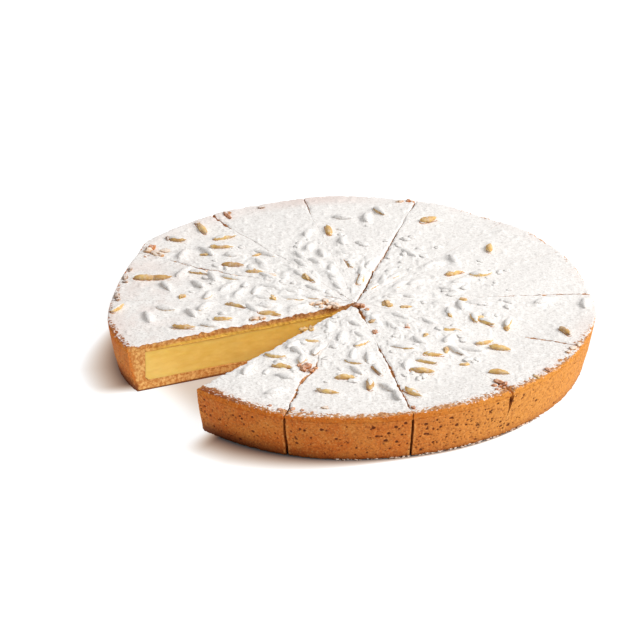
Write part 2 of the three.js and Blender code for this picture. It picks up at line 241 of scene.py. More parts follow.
def bell(angle, at, width):
    """A hump of height 1 in an angle, with its place and its width in degrees."""
    away = (np.degrees(angle) - at + 180) % 360 - 180
    return np.exp(-((away / width) ** 2))


def turned(x, y, angle):
    c, s = math.cos(angle), math.sin(angle)
    return x * c - y * s, x * s + y * c


def draw(seed):
    """The same fixed sequence of draws as the model's."""
    value = math.sin(seed * 12.9898 + 4.1414) * 43758.5453
    return value - math.floor(value)


# ---------------- form of the tart

def humps(listed, angle):
    """Sum of the humps of a list, each given as angle, width and size, at an angle."""
    total = 0.0
    for at, width, size in listed:
        total = total + size * bell(angle, at, width)
    return total


def rim_waver(angle):
    waves = sum(size * np.sin(count * angle + phase) for count, size, phase in RIM_WAVES)
    return waves + humps(RIM_BULGES, angle)


def side_radius(angle, height):
    share = height / TART_HEIGHT
    bulge = WALL_BULGE * np.sin(np.pi * share)
    return lerp(FOOT_RADIUS, TART_RADIUS, share) + bulge + rim_waver(angle)


def under_side(x, y, z):
    """How deep a place lies behind the outside of the wall."""
    return side_radius(np.arctan2(y, x), z) - np.hypot(x, y)


def plain_top(x, y):
    """Height of the lid's top as in the model."""
    out = np.minimum(1, np.hypot(x, y) / TART_RADIUS)
    sag = LID_SAG * (1 - out * out)
    wave = LID_WAVE * np.sin(x / 21 + 0.7) * np.cos(y / 24 + 1.9)
    ripple = LID_RIPPLE * np.sin(x / 11 - y / 14)
    swell = humps(RIM_SWELLS, np.arctan2(y, x)) * out ** SWELL_FADE
    return TART_HEIGHT - sag + wave + ripple + swell


def sugar_top(x, y):
    """The lid's top with the sugar that is heaped over its middle."""
    out = np.hypot(x, y) / TART_RADIUS
    return plain_top(x, y) + SUGAR_HEAP * smooth(0.8, 0.25, out)


def reach_to(radius, angle):
    """Distance from the cut centre, along a direction, to a circle round the origin."""
    cx, cy = CUT_CENTRE
    along = cx * np.cos(angle) + cy * np.sin(angle)
    return np.sqrt(along * along - (cx * cx + cy * cy) + radius * radius) - along


def cut_direction(mark):
    """Direction from the cut centre to a place on the rim that is given in degrees."""
    at = math.radians(mark)
    x = TART_RADIUS * math.cos(at) - CUT_CENTRE[0]
    y = TART_RADIUS * math.sin(at) - CUT_CENTRE[1]
    angle = math.atan2(y, x)
    return angle + 2 * math.pi * round((at - angle) / (2 * math.pi))


CUTS = [cut_direction(mark) for mark in CUT_MARKS]
PORTIONS = len(CUTS) - 1
OPEN_CUTS = (0, PORTIONS)  # the cuts on both sides of the notch
OPEN_PORTIONS = (0, PORTIONS - 1)  # the portions on both sides of it


def from_cut(angle, x, y):
    """How far along the straight line of a cut a place lies, and how far to its left."""
    dx, dy = x - CUT_CENTRE[0], y - CUT_CENTRE[1]
    c, s = math.cos(angle), math.sin(angle)
    return dx * c + dy * s, dy * c - dx * s


def tip_of(portion):
    """Where the inner tip of a portion is."""
    middle = (CUTS[portion] + CUTS[portion + 1]) / 2
    return CUT_CENTRE[0] + TIP * math.cos(middle), CUT_CENTRE[1] + TIP * math.sin(middle)


def stray(cut, distance, z):
    """How far a cut's middle line lies off the straight, to its left."""
    fade = smooth(3, 25, distance)
    wander = noise(distance / 17, cut * 7.3, seed=5) + 0.5 * noise(distance / 6, cut * 3.1, seed=6)
    outer = smooth(100, 125, distance)
    lean = 0.5 * noise(z / 9, cut * 5.7, seed=8) * outer
    slant = WALL_LEAN.get(cut, 0) * np.minimum(0, z - WALL_TOP) * outer
    return CUT_STRAY[cut] * fade * (wander + lean) + slant


def cut_look(cut, distance):
    """How wide a cut looks on the lid."""
    out, half = zip(*CUT_LOOKS[cut])
    return np.interp(distance / TART_RADIUS, out, half)


def lid_half(cut, distance, z):
    """Half width of a cut at the lid, with its ragged edge."""
    look = cut_look(cut, distance)
    ragged = layered(distance / 1.6, z / 1.6, cut * 9.7, seed=11)
    chips = smooth(0.3, 0.7, noise(distance / 2.6, z / 4, cut * 5.1, seed=14))
    chips = chips * smooth(TART_HEIGHT - 2, TART_HEIGHT - 0.5, z)
    if cut in OPEN_CUTS:
        return look + 0.4 * ragged + 0.8 * chips
    narrowed = lerp(0.25, 1, smooth(TART_HEIGHT - SLIT_DEPTH, TART_HEIGHT, z))
    narrowed = np.maximum(narrowed, smooth(0.94, 0.98, distance / TART_RADIUS))
    open_half = SLIT * look + smooth(0.1, 0.45, look) * (0.16 * ragged + 0.3 * chips)
    return np.maximum(SHUT, narrowed * open_half)


def shell_half(cut, distance, z):
    """Half width of a cut at the base and wall."""
    ragged = 0.14 * layered(distance / 1.3, z / 1.3, cut * 4.7, seed=17)
    if cut in OPEN_CUTS:
        return KERF / 2 + ragged
    opened = smooth(*WALL_OPENS[cut], z) * smooth(*WALL_SHALLOW.get(cut, (-2, -1)), distance)
    return np.maximum(SHUT, lerp(SHUT, CUT_LOOKS[cut][-1][1], opened) + opened * ragged)


def custard_half(cut, distance, z):
    """Half width of a cut at the custard: smooth, a little hollow under the lid."""
    smear = 0.1 * noise(distance / 9, z / 1.1, cut * 3.3, seed=21)
    smear = smear + 0.05 * noise(distance / 2.2, z / 0.7, cut * 8.3, seed=22)
    bulge = -0.3 * np.sin(np.pi * np.clip((z - CUSTARD_BOTTOM) / 18, 0, 1))
    return KERF / 2 + 0.25 + smear + bulge


# ---------------- building closed pieces

def columns_across(portion, count, crowd=0.45):
    """Shares from 0 to 1 across a portion, closer together at its two cuts, and directions."""
    t = np.linspace(0, 1, count + 1)
    shares = lerp(t, 0.5 - 0.5 * np.cos(np.pi * t), crowd)
    return shares, lerp(CUTS[portion], CUTS[portion + 1], shares)


def outer_rows(middle, rows):
    """Distances from the cut centre and heights of rows that are given as radius and height."""
    distance = [reach_to(radius, middle) for radius, _ in rows]
    return np.array(distance), np.array([np.full_like(middle, height) for _, height in rows])


def inner_rows(outer, height, shares):
    """The same for rows at one height, at shares of the way from the tip to an outer row."""
    distance = np.array([TIP + (outer - TIP) * share for share in shares])
    return distance, np.full_like(distance, height)


def spread(portion, shares, distance, z, half):
    """Points of a portion from rows of distances and heights. Also how far each is from the
    faces of the two cuts."""
    first, second = portion, portion + 1
    lead = (half(first, distance, z) + stray(first, distance, z)) / distance
    trail = (half(second, distance, z) - stray(second, distance, z)) / distance
    start = CUTS[first] + np.arcsin(np.clip(lead, -0.9, 0.9))
    stop = CUTS[second] - np.arcsin(np.clip(trail, -0.9, 0.9))
    angle = start + (stop - start) * shares
    x = CUT_CENTRE[0] + distance * np.cos(angle)
    y = CUT_CENTRE[1] + distance * np.sin(angle)
    return x, y, distance * (angle - start), distance * (stop - angle)


def face_points(cut, side, distance, z, half):
    """Points on the face of a cut. side is 1 where the portion lies to the left of it."""
    off = side * half(cut, distance, z) + stray(cut, distance, z)
    along = np.sqrt(np.maximum(distance ** 2 - off ** 2, 0))
    c, s = math.cos(CUTS[cut]), math.sin(CUTS[cut])
    x = CUT_CENTRE[0] + along * c - off * s
    y = CUT_CENTRE[1] + along * s + off * c
    return np.stack([x, y, z], axis=1)


def inside(outline, points):
    """Which points lie inside a closed outline."""
    x, y = points[:, 0:1], points[:, 1:2]
    x0, y0 = outline[:, 0], outline[:, 1]
    x1, y1 = np.roll(x0, -1), np.roll(y0, -1)
    crosses = (y0 > y) != (y1 > y)
    with np.errstate(divide="ignore", invalid="ignore"):
        at = x0 + (y - y0) * (x1 - x0) / (y1 - y0)
    return (np.sum(crosses & (x < at), axis=1) % 2) == 1


def far_from(outline, points, least):
    """Which points are at least so far from an outline."""
    ab = np.roll(outline, -1, axis=0) - outline
    ap = points[:, None, :] - outline[None]
    t = np.clip(np.sum(ap * ab, axis=2) / np.maximum(np.sum(ab * ab, axis=1), 1e-12), 0, 1)
    gap = np.linalg.norm(ap - t[..., None] * ab, axis=2)
    return gap.min(axis=1) >= least


def grid_inside(outline, pitch):
    """Points inside a flat outline, about pitch apart, that stay clear of it."""
    low, high = outline.min(axis=0), outline.max(axis=0)
    gx, gy = np.meshgrid(np.arange(low[0], high[0], pitch), np.arange(low[1], high[1], pitch))
    gx[1::2] += pitch / 2
    grid = np.stack([gx.ravel(), gy.ravel()], axis=1)
    jolts = [noise(*(grid * 7.1).T, seed=seed) for seed in (31, 32)]
    grid = grid + 0.2 * pitch * np.stack(jolts, axis=1)
    grid = grid[inside(outline, grid)]
    return grid[far_from(outline, grid, 0.45 * pitch)]


def fill_face(outline, pitch):
    """Triangles that fill a flat outline, and the points added inside it if there is a pitch."""
    extra = grid_inside(outline, pitch) if pitch else np.zeros((0, 2))
    coords = [Vector(p) for p in np.concatenate([outline, extra])]
    count = len(outline)
    edges = [(i, (i + 1) % count) for i in range(count)]
    verts, _, faces, origin, *_ = delaunay_2d_cdt(coords, edges, [], 0, 1e-7, True)
    back = [ids[0] if ids else -1 for ids in origin]
    if -1 in back or len(verts) != len(coords):
        raise RuntimeError("a cut face crosses itself")
    corners = np.array([[verts[v][:] for v in face] for face in faces])
    kept = inside(outline, corners.mean(axis=1))
    triangles = []
    for face, (a, b, c), keep in zip(faces, corners, kept):
        ids = [back[v] for v in face]
        turn = (b[0] - a[0]) * (c[1] - a[1]) - (b[1] - a[1]) * (c[0] - a[0])
        if keep:
            triangles.append(ids if turn > 0 else ids[::-1])
    return extra, triangles


def closed_piece(portion, distance, x, y, z, half, tips, pitch):
    """A closed mesh of one portion from rows of points, out along its bottom, up its side and
    back along its top. tips are the lower and upper height of its inner tip. Faces at the notch
    get points inside them, pitch apart. Returns points, faces and the distance of each point
    from the cut centre."""
    count, columns = x.shape
    points = [[(*tip_of(portion), tip) for tip in tips], np.stack([x, y, z], axis=2).reshape(-1, 3)]
    away = [[TIP, TIP], distance.ravel()]
    index = 2 + np.arange(count * columns).reshape(count, columns)
    quads = np.stack([index[:-1, :-1], index[:-1, 1:], index[1:, 1:], index[1:, :-1]], axis=2)
    faces = quads.reshape(-1, 4).tolist()
    faces += [[0, b, a] for a, b in zip(index[0].tolist(), index[0, 1:].tolist())]
    faces += [[1, a, b] for a, b in zip(index[-1].tolist(), index[-1, 1:].tolist())]
    total = 2 + count * columns
    for column, cut, side in ((0, portion, 1), (-1, portion + 1, -1)):
        flat = np.stack([[TIP, *distance[:, column], TIP], [tips[0], *z[:, column], tips[1]]], axis=1)
        extra, triangles = fill_face(flat, pitch if cut in OPEN_CUTS else None)
        lookup = [0, *index[:, column].tolist(), 1, *range(total, total + len(extra))]
        faces += [[lookup[i] for i in triangle][::side] for triangle in triangles]
        if len(extra):
            points.append(face_points(cut, side, extra[:, 0], extra[:, 1], half))
            away.append(extra[:, 0])
            total += len(extra)
    return np.concatenate([np.asarray(p, float) for p in points]), faces, np.concatenate(away)


def on_rows(total, first, values):
    """One value for each point of a piece: those given for its rows from first on, and 0."""
    marks = np.zeros(total)
    start = 2 + first * values.shape[1]
    marks[start:start + values.size] = values.ravel()
    return marks


def make_object(name, points, faces, material, attributes=None, sharp=None):
    """A mesh object from points in millimetres, kept inside the model's box."""
    mesh = bpy.data.meshes.new(name)
    low, high = np.array(cad_box) + [[HAIR] * 3, [-HAIR] * 3]
    low[2] = 0
    points = np.clip(np.asarray(points) * MM, low, high).astype(np.float32)
    loops = np.concatenate([np.asarray(face, np.int32) for face in faces])
    totals = np.array([len(face) for face in faces], np.int32)
    starts = np.concatenate([[0], np.cumsum(totals)[:-1]]).astype(np.int32)
    mesh.vertices.add(len(points))
    mesh.vertices.foreach_set("co", points.ravel())
    mesh.loops.add(len(loops))
    mesh.loops.foreach_set("vertex_index", loops)
    mesh.polygons.add(len(faces))
    mesh.polygons.foreach_set("loop_start", starts)
    mesh.update(calc_edges=True)
    mesh.validate()
    mesh.polygons.foreach_set("use_smooth", np.ones(len(mesh.polygons), bool))
    for key, values in (attributes or {}).items():
        layer = mesh.attributes.new(key, "FLOAT", "POINT")
        layer.data.foreach_set("value", np.asarray(values, np.float32))
    if sharp:
        mesh.set_sharp_from_angle(angle=math.radians(sharp))
    mesh.materials.append(material)
    piece = bpy.data.objects.new(name, mesh)
    bpy.context.scene.collection.objects.link(piece)
    return piece


# ---------------- pine nuts

def distance_to_cuts(x, y):
    nearest = math.inf
    for angle in CUTS:
        along, across = from_cut(angle, x, y)
        nearest = min(nearest, abs(across) if along > 0 else math.hypot(along, across))
    return nearest


def portion_at(x, y):
    angle = math.atan2(y - CUT_CENTRE[1], x - CUT_CENTRE[0])
    while angle < CUTS[0]:
        angle += 2 * math.pi
    for index in range(PORTIONS):
        if angle < CUTS[index + 1]:
            return index
    return -1


def nut_fits(nut, others):
    """Whether a nut lies on one portion, clear of the cuts, the rim and the other nuts."""
    half = nut.length / 2
    room = nut.width / 2 + KERF / 2 + NUT_CLEAR
    for end in (-1, -0.5, 0, 0.5, 1):
        x = nut.x + end * half * math.cos(nut.heading)
        y = nut.y + end * half * math.sin(nut.heading)
        taper = nut.width * NUT_TAPER if abs(end) == 1 else 0
        if distance_to_cuts(x, y) < room - taper:
            return False
        if math.hypot(x, y) > side_radius(math.atan2(y, x), TART_HEIGHT) - RIM_MARGIN:
            return False
    if portion_at(nut.x, nut.y) < 0:
        return False
    return all(math.hypot(nut.x - o.x, nut.y - o.y) > NUT_SPACING for o in others)


def make_nut(seed, x, y, heading, bare=None):
    length = lerp(*NUT_LENGTH, draw(seed))
    width = lerp(*NUT_WIDTH, draw(seed + 0.25))
    tilt = math.radians(NUT_TILT * (2 * draw(seed + 0.5) - 1))
    return SimpleNamespace(x=x, y=y, heading=heading, seed=seed, bare=bare, length=length,
                           width=width, tilt=tilt)


def strewn_chance(x, y):
    """How likely a strewn nut is, likeliest in the middle and least so at the back right."""
    out = math.hypot(x, y) / TART_RADIUS
    towards_back_right = (x * 0.8 + y * 0.6) / TART_RADIUS
    return min(1, max(0.04, 2 - 2.5 * out - 0.6 * towards_back_right))


def lay_nut(nuts, nut, others, spare_heading):
    """Add a nut to the list if it fits as it lies, or else turned to another heading."""
    if not nut_fits(nut, others):
        nut.heading = spare_heading
    if nut_fits(nut, others):
        nuts.append(nut)


def lay_nuts():
    """The same nuts in the same places as on the model."""
    nuts = []
    for index, (x, y, heading) in enumerate(CHOSEN_NUTS):
        x, y = x * TART_RADIUS, y * TART_RADIUS
        nut = make_nut(index + 1, x, y, math.radians(heading), BARE[index])
        portion = portion_at(x, y)
        lay_nut(nuts, nut, [], (CUTS[portion] + CUTS[portion + 1]) / 2)
    for index in range(STREWN_TRIES):
        seed = STREWN_SEED + index * 3
        share = (index + draw(seed)) / STREWN_TRIES
        out = TART_RADIUS * STREWN_REACH * share ** CROWDING
        angle = index * GOLDEN_ANGLE + 0.5 * (draw(seed + 1) - 0.5)
        x, y = out * math.cos(angle), out * math.sin(angle)
        nut = make_nut(seed + 0.1, x, y, math.pi * draw(seed + 2))
        nut.bare = STREWN_BARE * draw(nut.seed + 0.6) ** 1.35
        if draw(seed + 0.7) <= strewn_chance(x, y):
            lay_nut(nuts, nut, nuts, angle)
    return nuts


NUTS = lay_nuts()


def ball_faces(rings, around):
    """Faces of a body of rings of points, with one more point before and one after them."""
    index = 1 + np.arange(rings * around).reshape(rings, around)
    after = np.roll(index, -1, axis=1)
    quads = np.stack([index[:-1], index[1:], after[1:], after[:-1]], axis=2)
    faces = quads.reshape(-1, 4).tolist()
    faces += [[0, a, b] for a, b in zip(index[0].tolist(), after[0].tolist())]
    last = 1 + rings * around
    faces += [[last, b, a] for a, b in zip(index[-1].tolist(), after[-1].tolist())]
    return faces


def nut_form(nut, u, v):
    """Points and normals of one nut that lies along X: blunt behind, pointed in front. u runs
    along it and v round it."""
    girth = 0.94 * np.sin(np.pi * u ** 0.8) ** 0.7 * nut.width / 2
    bend = 0.5 * (draw(nut.seed + 0.9) - 0.5) * nut.width * (2 * u - 1) ** 2
    x = (u[:, None] - 0.5) * nut.length + 0 * v
    y = girth[:, None] * np.cos(v) + bend[:, None]
    z = 0.92 * girth[:, None] * NUT_FLATNESS * np.sin(v) - 0.15
    lump = 1 + 0.07 * noise(x / 3, y / 2, z / 2 + nut.seed * 3.7, seed=41)
    steep = np.gradient(girth, x[:, 0])[:, None]
    normal = np.stack([-steep + 0 * v, np.cos(v) + 0 * x, np.sin(v) / NUT_FLATNESS + 0 * x])
    return (x, y * lump, z * lump), normal / np.linalg.norm(normal, axis=0)


def nut_pose(nut, x, y, z):
    """Places or normals of a nut, tilted and turned to its heading."""
    x, z = turned(x, z, nut.tilt)
    return *turned(x, y, nut.heading), z


def nut_cover(nut, u, places, normal):
    """How much sugar lies on each part of a nut: on top, at its ends and towards the back."""
    x, y, z = places
    patchy = layered(x / 2.4, y / 2.4, z / 2.4 + nut.seed, seed=43)
    ends = 0.4 * (np.abs(2 * u - 1) ** 3)[:, None] * (0.5 + patchy)
    coat = normal[2] + 0.34 * patchy + 0.25 * (0.3 * normal[0] + 0.8 * normal[1]) + ends
    need = np.interp(nut.bare, [0, 0.25, 0.5, 1], [-0.95, -0.45, 0.15, 1.2])
    return smooth(need - 0.12, need + 0.12, coat)


def nut_body(nut, around=22, along=24):
    """Points, faces, sugar cover and toasting of one nut."""
    u = (1 - np.cos(np.pi * np.linspace(0, 1, along + 1)[1:-1])) / 2
    v = np.linspace(0, 2 * np.pi, around, endpoint=False)
    form, normal = nut_form(nut, u, v)
    x, y, z = nut_pose(nut, *form)
    x, y = x + nut.x, y + nut.y
    nx, ny, nz = nut_pose(nut, *normal)
    cover = nut_cover(nut, u, (x, y, z), (nx, ny, nz))
    crust = cover * (0.06 + 0.16 * layered(x, y, z, size=1.3, seed=46, octaves=2))
    x, y, z = x + nx * crust, y + ny * crust, z + nz * crust
    z = z + float(plain_top(nut.x, nut.y)) + NUT_STAND_OUT * nut.width
    rings = np.stack([x, y, z], axis=2)
    caps = rings[[0, -1]].mean(axis=1)
    body = np.concatenate([caps[:1], rings.reshape(-1, 3), caps[1:]])
    cover = np.concatenate([[cover[0].mean()], cover.ravel(), [cover[-1].mean()]])
    faces = [face[::-1] for face in ball_faces(len(u), around)]
    toast = np.full(len(body), draw(nut.seed + 0.4) ** 2)
    return body, faces, cover, toast


def lump_body(x, y, z, sizes, heading, seed, around=11, rings=8, rough=0.5):
    """Points and faces of one irregular lump, such as a crumb or a knob of sugar."""
    u = np.pi * np.linspace(0, 1, rings + 2)[1:-1]
    v = np.linspace(0, 2 * np.pi, around, endpoint=False)
    ball = np.stack([np.sin(u)[:, None] * np.cos(v), np.sin(u)[:, None] * np.sin(v),
                     np.cos(u)[:, None] + 0 * v], axis=2).reshape(-1, 3)
    px, py, pz = np.concatenate([[[0, 0, 1]], ball, [[0, 0, -1]]]).T
    swell = 1 + rough * layered(px * 1.7 + seed * 5.3, py * 1.7, pz * 1.7, seed=48, octaves=2)
    px, py, pz = (p * swell * size / 2 for p, size in zip((px, py, pz), sizes))
    px, py = turned(px, py, heading)
    return np.stack([x + px, y + py, z + pz], axis=1), ball_faces(rings, around)


def joined(bodies):
    """One list of points and one of faces from many."""
    points, faces, total = [], [], 0
    for body, body_faces in bodies:
        points.append(body)
        faces += [[index + total for index in face] for face in body_faces]
        total += len(body)
    return np.concatenate(points), faces


# ---------------- the sugared top

# Broken or bare places: x and y in tart radii, radius, depth, and how much sugar is gone.
PATCHES = [
    (-0.17, -0.6, 4, 0.9, 0.8), (0.59, -0.73, 3.2, 1.4, 1), (0.92, -0.36, 5, 0.5, 0.75),
    (-0.88, 0.41, 4, 0.5, 0.6), (-0.6, -0.76, 3.5, 0.6, 0.9), (-0.1, -0.03, 5, 0.8, 0.9),
    (0.05, -0.02, 2.5, 0.6, 0.7), (-0.27, -0.94, 3.5, 0.5, 0.8), (0.12, -0.97, 3.5, 0.5, 0.8),
    (0.25, 0.95, 4, 0.4, 0.7), (-0.53, 0.82, 4, 0.4, 0.7), (0.08, -0.19, 2.5, 0.4, 0.6),
    (0.22, -0.22, 2.5, 0.4, 0.6), (0.72, -0.67, 3, 0.4, 0.7), (0.9, 0.42, 6, 0.2, 0.5),
]

# Stretches of the rim where the pastry shows through the sugar: angle, width in degrees, how much.
BLUSHES = [(101, 14, 0.6), (128, 10, 0.3), (192, 9, 0.5), (348, 7, 0.3)]

# Stretches where the rim has lost sugar: angle, width in degrees, reach inwards and share lost.
RIM_WEAR = [
    (232, 5, 8.5, 1.6), (241, 6, 5, 1.2), (249, 5, 7, 0.8), (257, 6, 10, 0.75),
    (268, 9, 7, 0.85), (279, 6, 7, 0.9), (290, 5, 6.5, 1.1), (300, 4, 6.5, 1.1),
    (309, 2.5, 10, 0.9), (317, 3.5, 4, 0.7), (328, 4, 6.5, 0.95), (341, 3, 4, 0.4),
    (197, 6, 6, 0.9), (206, 6, 7, 0.9),
    (150, 4, 7, 0.45), (163, 3, 5, 0.5), (172, 3, 5, 0.45), (182, 3, 4, 0.5),
    (60, 8, 3, 0.4), (38, 6, 3.5, 0.45), (20, 4, 3, 0.35), (76, 3, 6, 0.55),
]


def rim_wear(x, y, to_rim, turn):
    """How much sugar the rim has lost."""
    wear = np.zeros_like(to_rim)
    fray = to_rim + 1.6 * noise(x, y, size=3.1, seed=68)
    for at, width, reach, loss in RIM_WEAR:
        share = loss * bell(turn, at, width)
        wear = np.maximum(wear, share * smooth(reach, 0.25 * reach, fray))
    return wear * (0.9 + 0.7 * noise(x, y, size=1.4, seed=69))


def nut_drift(x, y):
    """Sugar heaped against the nuts, most at the back, and the bare places under their front, whose
    dark pastry is partly real and partly painted shade under the nuts.
    """
    heap = np.zeros_like(x)
    bare = np.zeros_like(x)
    for nut in NUTS:
        near = (np.abs(x - nut.x) < DRIFT_REACH) & (np.abs(y - nut.y) < DRIFT_REACH)
        if not near.any():
            continue
        dx, dy = x[near] - nut.x, y[near] - nut.y
        c, s = math.cos(nut.heading), math.sin(nut.heading)
        along = np.clip(dx * c + dy * s, -nut.length * 0.38, nut.length * 0.38)
        ox, oy = dx - along * c, dy - along * s
        gap = np.hypot(ox, oy)
        far_side = smooth(-0.6, 0.6, (0.55 * ox + 0.83 * oy) / np.maximum(gap, 0.01))
        rise = 0.45 + 0.28 * far_side + 0.5 * (1 - nut.bare) ** 1.5
        rise = rise * np.exp(-((gap / (nut.width * 0.64)) ** 2))
        heap[near] = np.maximum(heap[near], rise)
        ring = gap / (nut.width / 2)
        # The bare ring on the front side of each nut shows dark pastry: partly bare pastry under the
        # overhang, partly painted shade under the nut.
        under = smooth(0.5, 0.7, ring) * smooth(1.1, 0.85, ring) * (1 - far_side)
        bare[near] = np.maximum(bare[near], under * smooth(0.35, 0.8, nut.bare))
    return heap, bare


def top_detail(x, y, to_rim, turn):
    """Height of the sugar's surface over the plain top, and how well it covers."""
    out = np.hypot(x, y) / TART_RADIUS
    near = smooth(0.0, -0.5, np.sin(turn))
    lumps = 0.24 * layered(x, y, size=9, seed=51)
    grain = 0.12 * layered(x, y, size=1.7, seed=55, octaves=2)
    clods = smooth(0.0, 0.6, layered(x, y, size=4.4, seed=58, octaves=2))
    clods = 0.6 * smooth(0.8, 0.3, out) * clods
    clods = clods + 0.3 * smooth(0.4, 0.8, noise(x, y, size=2.8, seed=59))
    heap, under = nut_drift(x, y)
    rise = lumps + grain + clods * (1 - under) + heap
    cover = 1.15 + 0.2 * noise(x, y, size=14, seed=61) - under - rim_wear(x, y, to_rim, turn)
    fray = to_rim + 0.5 * layered(x, y, size=1.5, seed=62, octaves=2)
    cover = cover - lerp(0.55, 1.3, near) * smooth(lerp(0.75, 2.2, near), 0.0, fray)
    worn = smooth(0.05, 0.5, noise(x, y, size=7, seed=63)) * smooth(3.2, 0.5, to_rim)
    cover = cover - 0.75 * near * worn
    for px, py, radius, depth, loss in PATCHES:
        gap = np.hypot(x - px * TART_RADIUS, y - py * TART_RADIUS) / radius
        mask = smooth(1.0, 0.3, gap + 0.5 * noise(x / 2.1, y / 2.1, px, seed=65))
        rise = rise - depth * mask * (0.4 + 0.8 * noise(x, y, size=1.3, seed=66))
        cover = cover - loss * mask * (0.75 + 0.6 * noise(x, y, size=1.6, seed=67))
    return rise, cover


def lid_rows(middle):
    """The lid's rows, out along its underside, up its side and back over its top, which is
    still flat. Also the distance of its rim."""
    inner = side_radius(middle, WALL_TOP) - WALL_THICKNESS - LAYER_GAP
    rows = [(inner, LID_UNDERSIDE), (inner + 0.05, LID_FOOT)]
    for step in range(LID_SIDE_ROWS + 1):
        share = step / LID_SIDE_ROWS
        height = lerp(LID_FOOT, TART_HEIGHT - 0.9, share)
        bite = 0.16 * layered(np.degrees(middle) * 1.4, height / 1.3, seed=71, octaves=2)
        tuck = 0.3 * smooth(0.16, 0, share)
        rows.append((side_radius(middle, height) - 0.2 - tuck + bite, height))
    distance, z = outer_rows(middle, rows)
    rim = reach_to(side_radius(middle, TART_HEIGHT), middle)
    shoulder = np.array([rim - inset for inset in RIM_SHOULDER])
    shares = np.linspace(1, 0, LID_TOP_ROWS + 1)[1:-1]
    top, top_z = inner_rows(shoulder[-1], TART_HEIGHT, shares)
    distance = np.concatenate([distance, shoulder, top])
    return distance, np.concatenate([z, np.full_like(shoulder, TART_HEIGHT), top_z]), rim


def lid_surface(portion, distance, x, y, gaps, to_rim, middle):
    """Height of the lid's top and how well sugar covers it, with its worn rim and its cuts."""
    turn = middle + 0 * to_rim
    rise, cover = top_detail(x, y, to_rim, turn)
    corner = lerp(0.4, 0.95, smooth(0.1, -0.5, np.sin(turn))) * np.exp(-(to_rim / 0.62) ** 1.4)
    nick = 0.5 * smooth(0.1, 0.8, noise(np.degrees(middle) * 1.1, 0, seed=75))
    ground = sugar_top(x, y) + rise - corner - nick * np.exp(-to_rim / 1.5)
    for cut, gap in zip((portion, portion + 1), gaps):
        look = cut_look(cut, distance)
        fray = 0.7 + 0.6 * noise(distance / 2.2, cut, seed=77)
        groove = np.exp(-(np.abs(gap) / (0.35 + 0.6 * look)) ** 1.6)
        ground = ground - (0.02 + 1.3 * look) * fray * groove
        cover = cover - CUT_BARE[cut] * smooth(0.05, 0.45, look) * fray * groove
    return np.minimum(ground, SUGAR_LIMIT), cover


def spilled_sugar(middle, drop):
    """How well sugar covers the lid's side, by the distance under its rim."""
    spill = lerp(0.75, -0.15, smooth(0.1, -0.5, np.sin(middle))) - 0.75 * drop
    return spill + 0.7 * noise(np.degrees(middle) * 1.7, drop / 1.2, seed=79)


def baked_share(portion, x, y, z):
    """How brown the lid's pastry is: most near its top, less at the faces of the notch."""
    below = plain_top(x, y) - z + 1.3 * noise(x, y, z, size=1.7, seed=80)
    open_face = 0
    for cut in (portion, portion + 1):
        if cut in OPEN_CUTS:
            across = np.abs(from_cut(CUTS[cut], x, y)[1])
            open_face = smooth(2.2, 1.6, across) * smooth(0.2, 0.6, below)
    return (1 - 0.6 * open_face) * smooth(2.6, 1.1, below)


def lid_piece(portion, material):
    """Pastry lid of one portion: sugared top, rim, and the faces of its cuts."""
    columns = 116 if portion < FRONT_PORTIONS else 84
    shares, middle = columns_across(portion, columns)
    distance, z, rim = lid_rows(middle)
    x, y, lead, trail = spread(portion, shares, distance, z, lid_half)
    side, top = LID_SIDE, slice(LID_SIDE.stop, None)
    to_rim = rim - distance[top]
    gaps = (lead[top], trail[top])
    z[top], cover = lid_surface(portion, distance[top], x[top], y[top], gaps, to_rim, middle)
    low = z[top.start]
    for step in range(LID_SIDE_ROWS + 1):
        z[side.start + step] = lerp(LID_FOOT, low - 0.3, step / LID_SIDE_ROWS)
    tips = (LID_UNDERSIDE, float(sugar_top(*tip_of(portion))))
    points, faces, away = closed_piece(portion, distance, x, y, z, lid_half, tips, LID_PITCH)

    def on_top(values):
        return on_rows(len(points), top.start, values)

    sugar = on_top(cover) + on_rows(len(points), side.start, spilled_sugar(middle, low - z[side]))
    sugar[1] = 1  # the upper point at the tip
    near = smooth(0.1, -0.5, np.sin(middle))
    high = points[:, 2]
    soaked = smooth(132, 112, away) * smooth(LID_UNDERSIDE + 2.6, LID_UNDERSIDE + 1.2, high)
    return make_object(f"sugared_lid_{portion + 1:02d}", points, faces, material, {
        "sugar": sugar,
        "margin": on_top(np.exp(-(to_rim / 6) ** 2) * (0.3 + 0.7 * near)),
        "thin": on_top(np.exp(-(to_rim / 24) ** 2) * near),
        "blush": on_top(np.exp(-(to_rim / 11) ** 4) * humps(BLUSHES, middle)),
        "crust": smooth(1.1, 0.5, under_side(*points.T)),
        "baked": baked_share(portion, *points.T),
        "soaked": soaked}, sharp=55)


# ---------------- shell and custard

# Pores that stand out: where on the rim, in degrees, height and radius.
LARGE_PORES = [
    (274.8, 22.5, 1.2), (275.6, 16.5, 1.1), (278.5, 18, 1), (277.8, 13, 1.3), (280.5, 11.5, 1),
    (280.2, 22, 1.1), (282.5, 24, 1), (287, 21.5, 1.3), (287.3, 18, 1), (287, 14.8, 1.1),
    (290.9, 17.9, 1.2), (295.1, 17, 1.1), (289.3, 7.7, 1), (262.6, 21, 1.1), (266, 15, 0.9),
    (241, 20, 0.9), (246, 12.5, 1), (301, 13, 1), (304.5, 19.5, 0.9), (318, 17, 0.9),
    (311.5, 5.5, 1.4), (309, 6.5, 1),
]


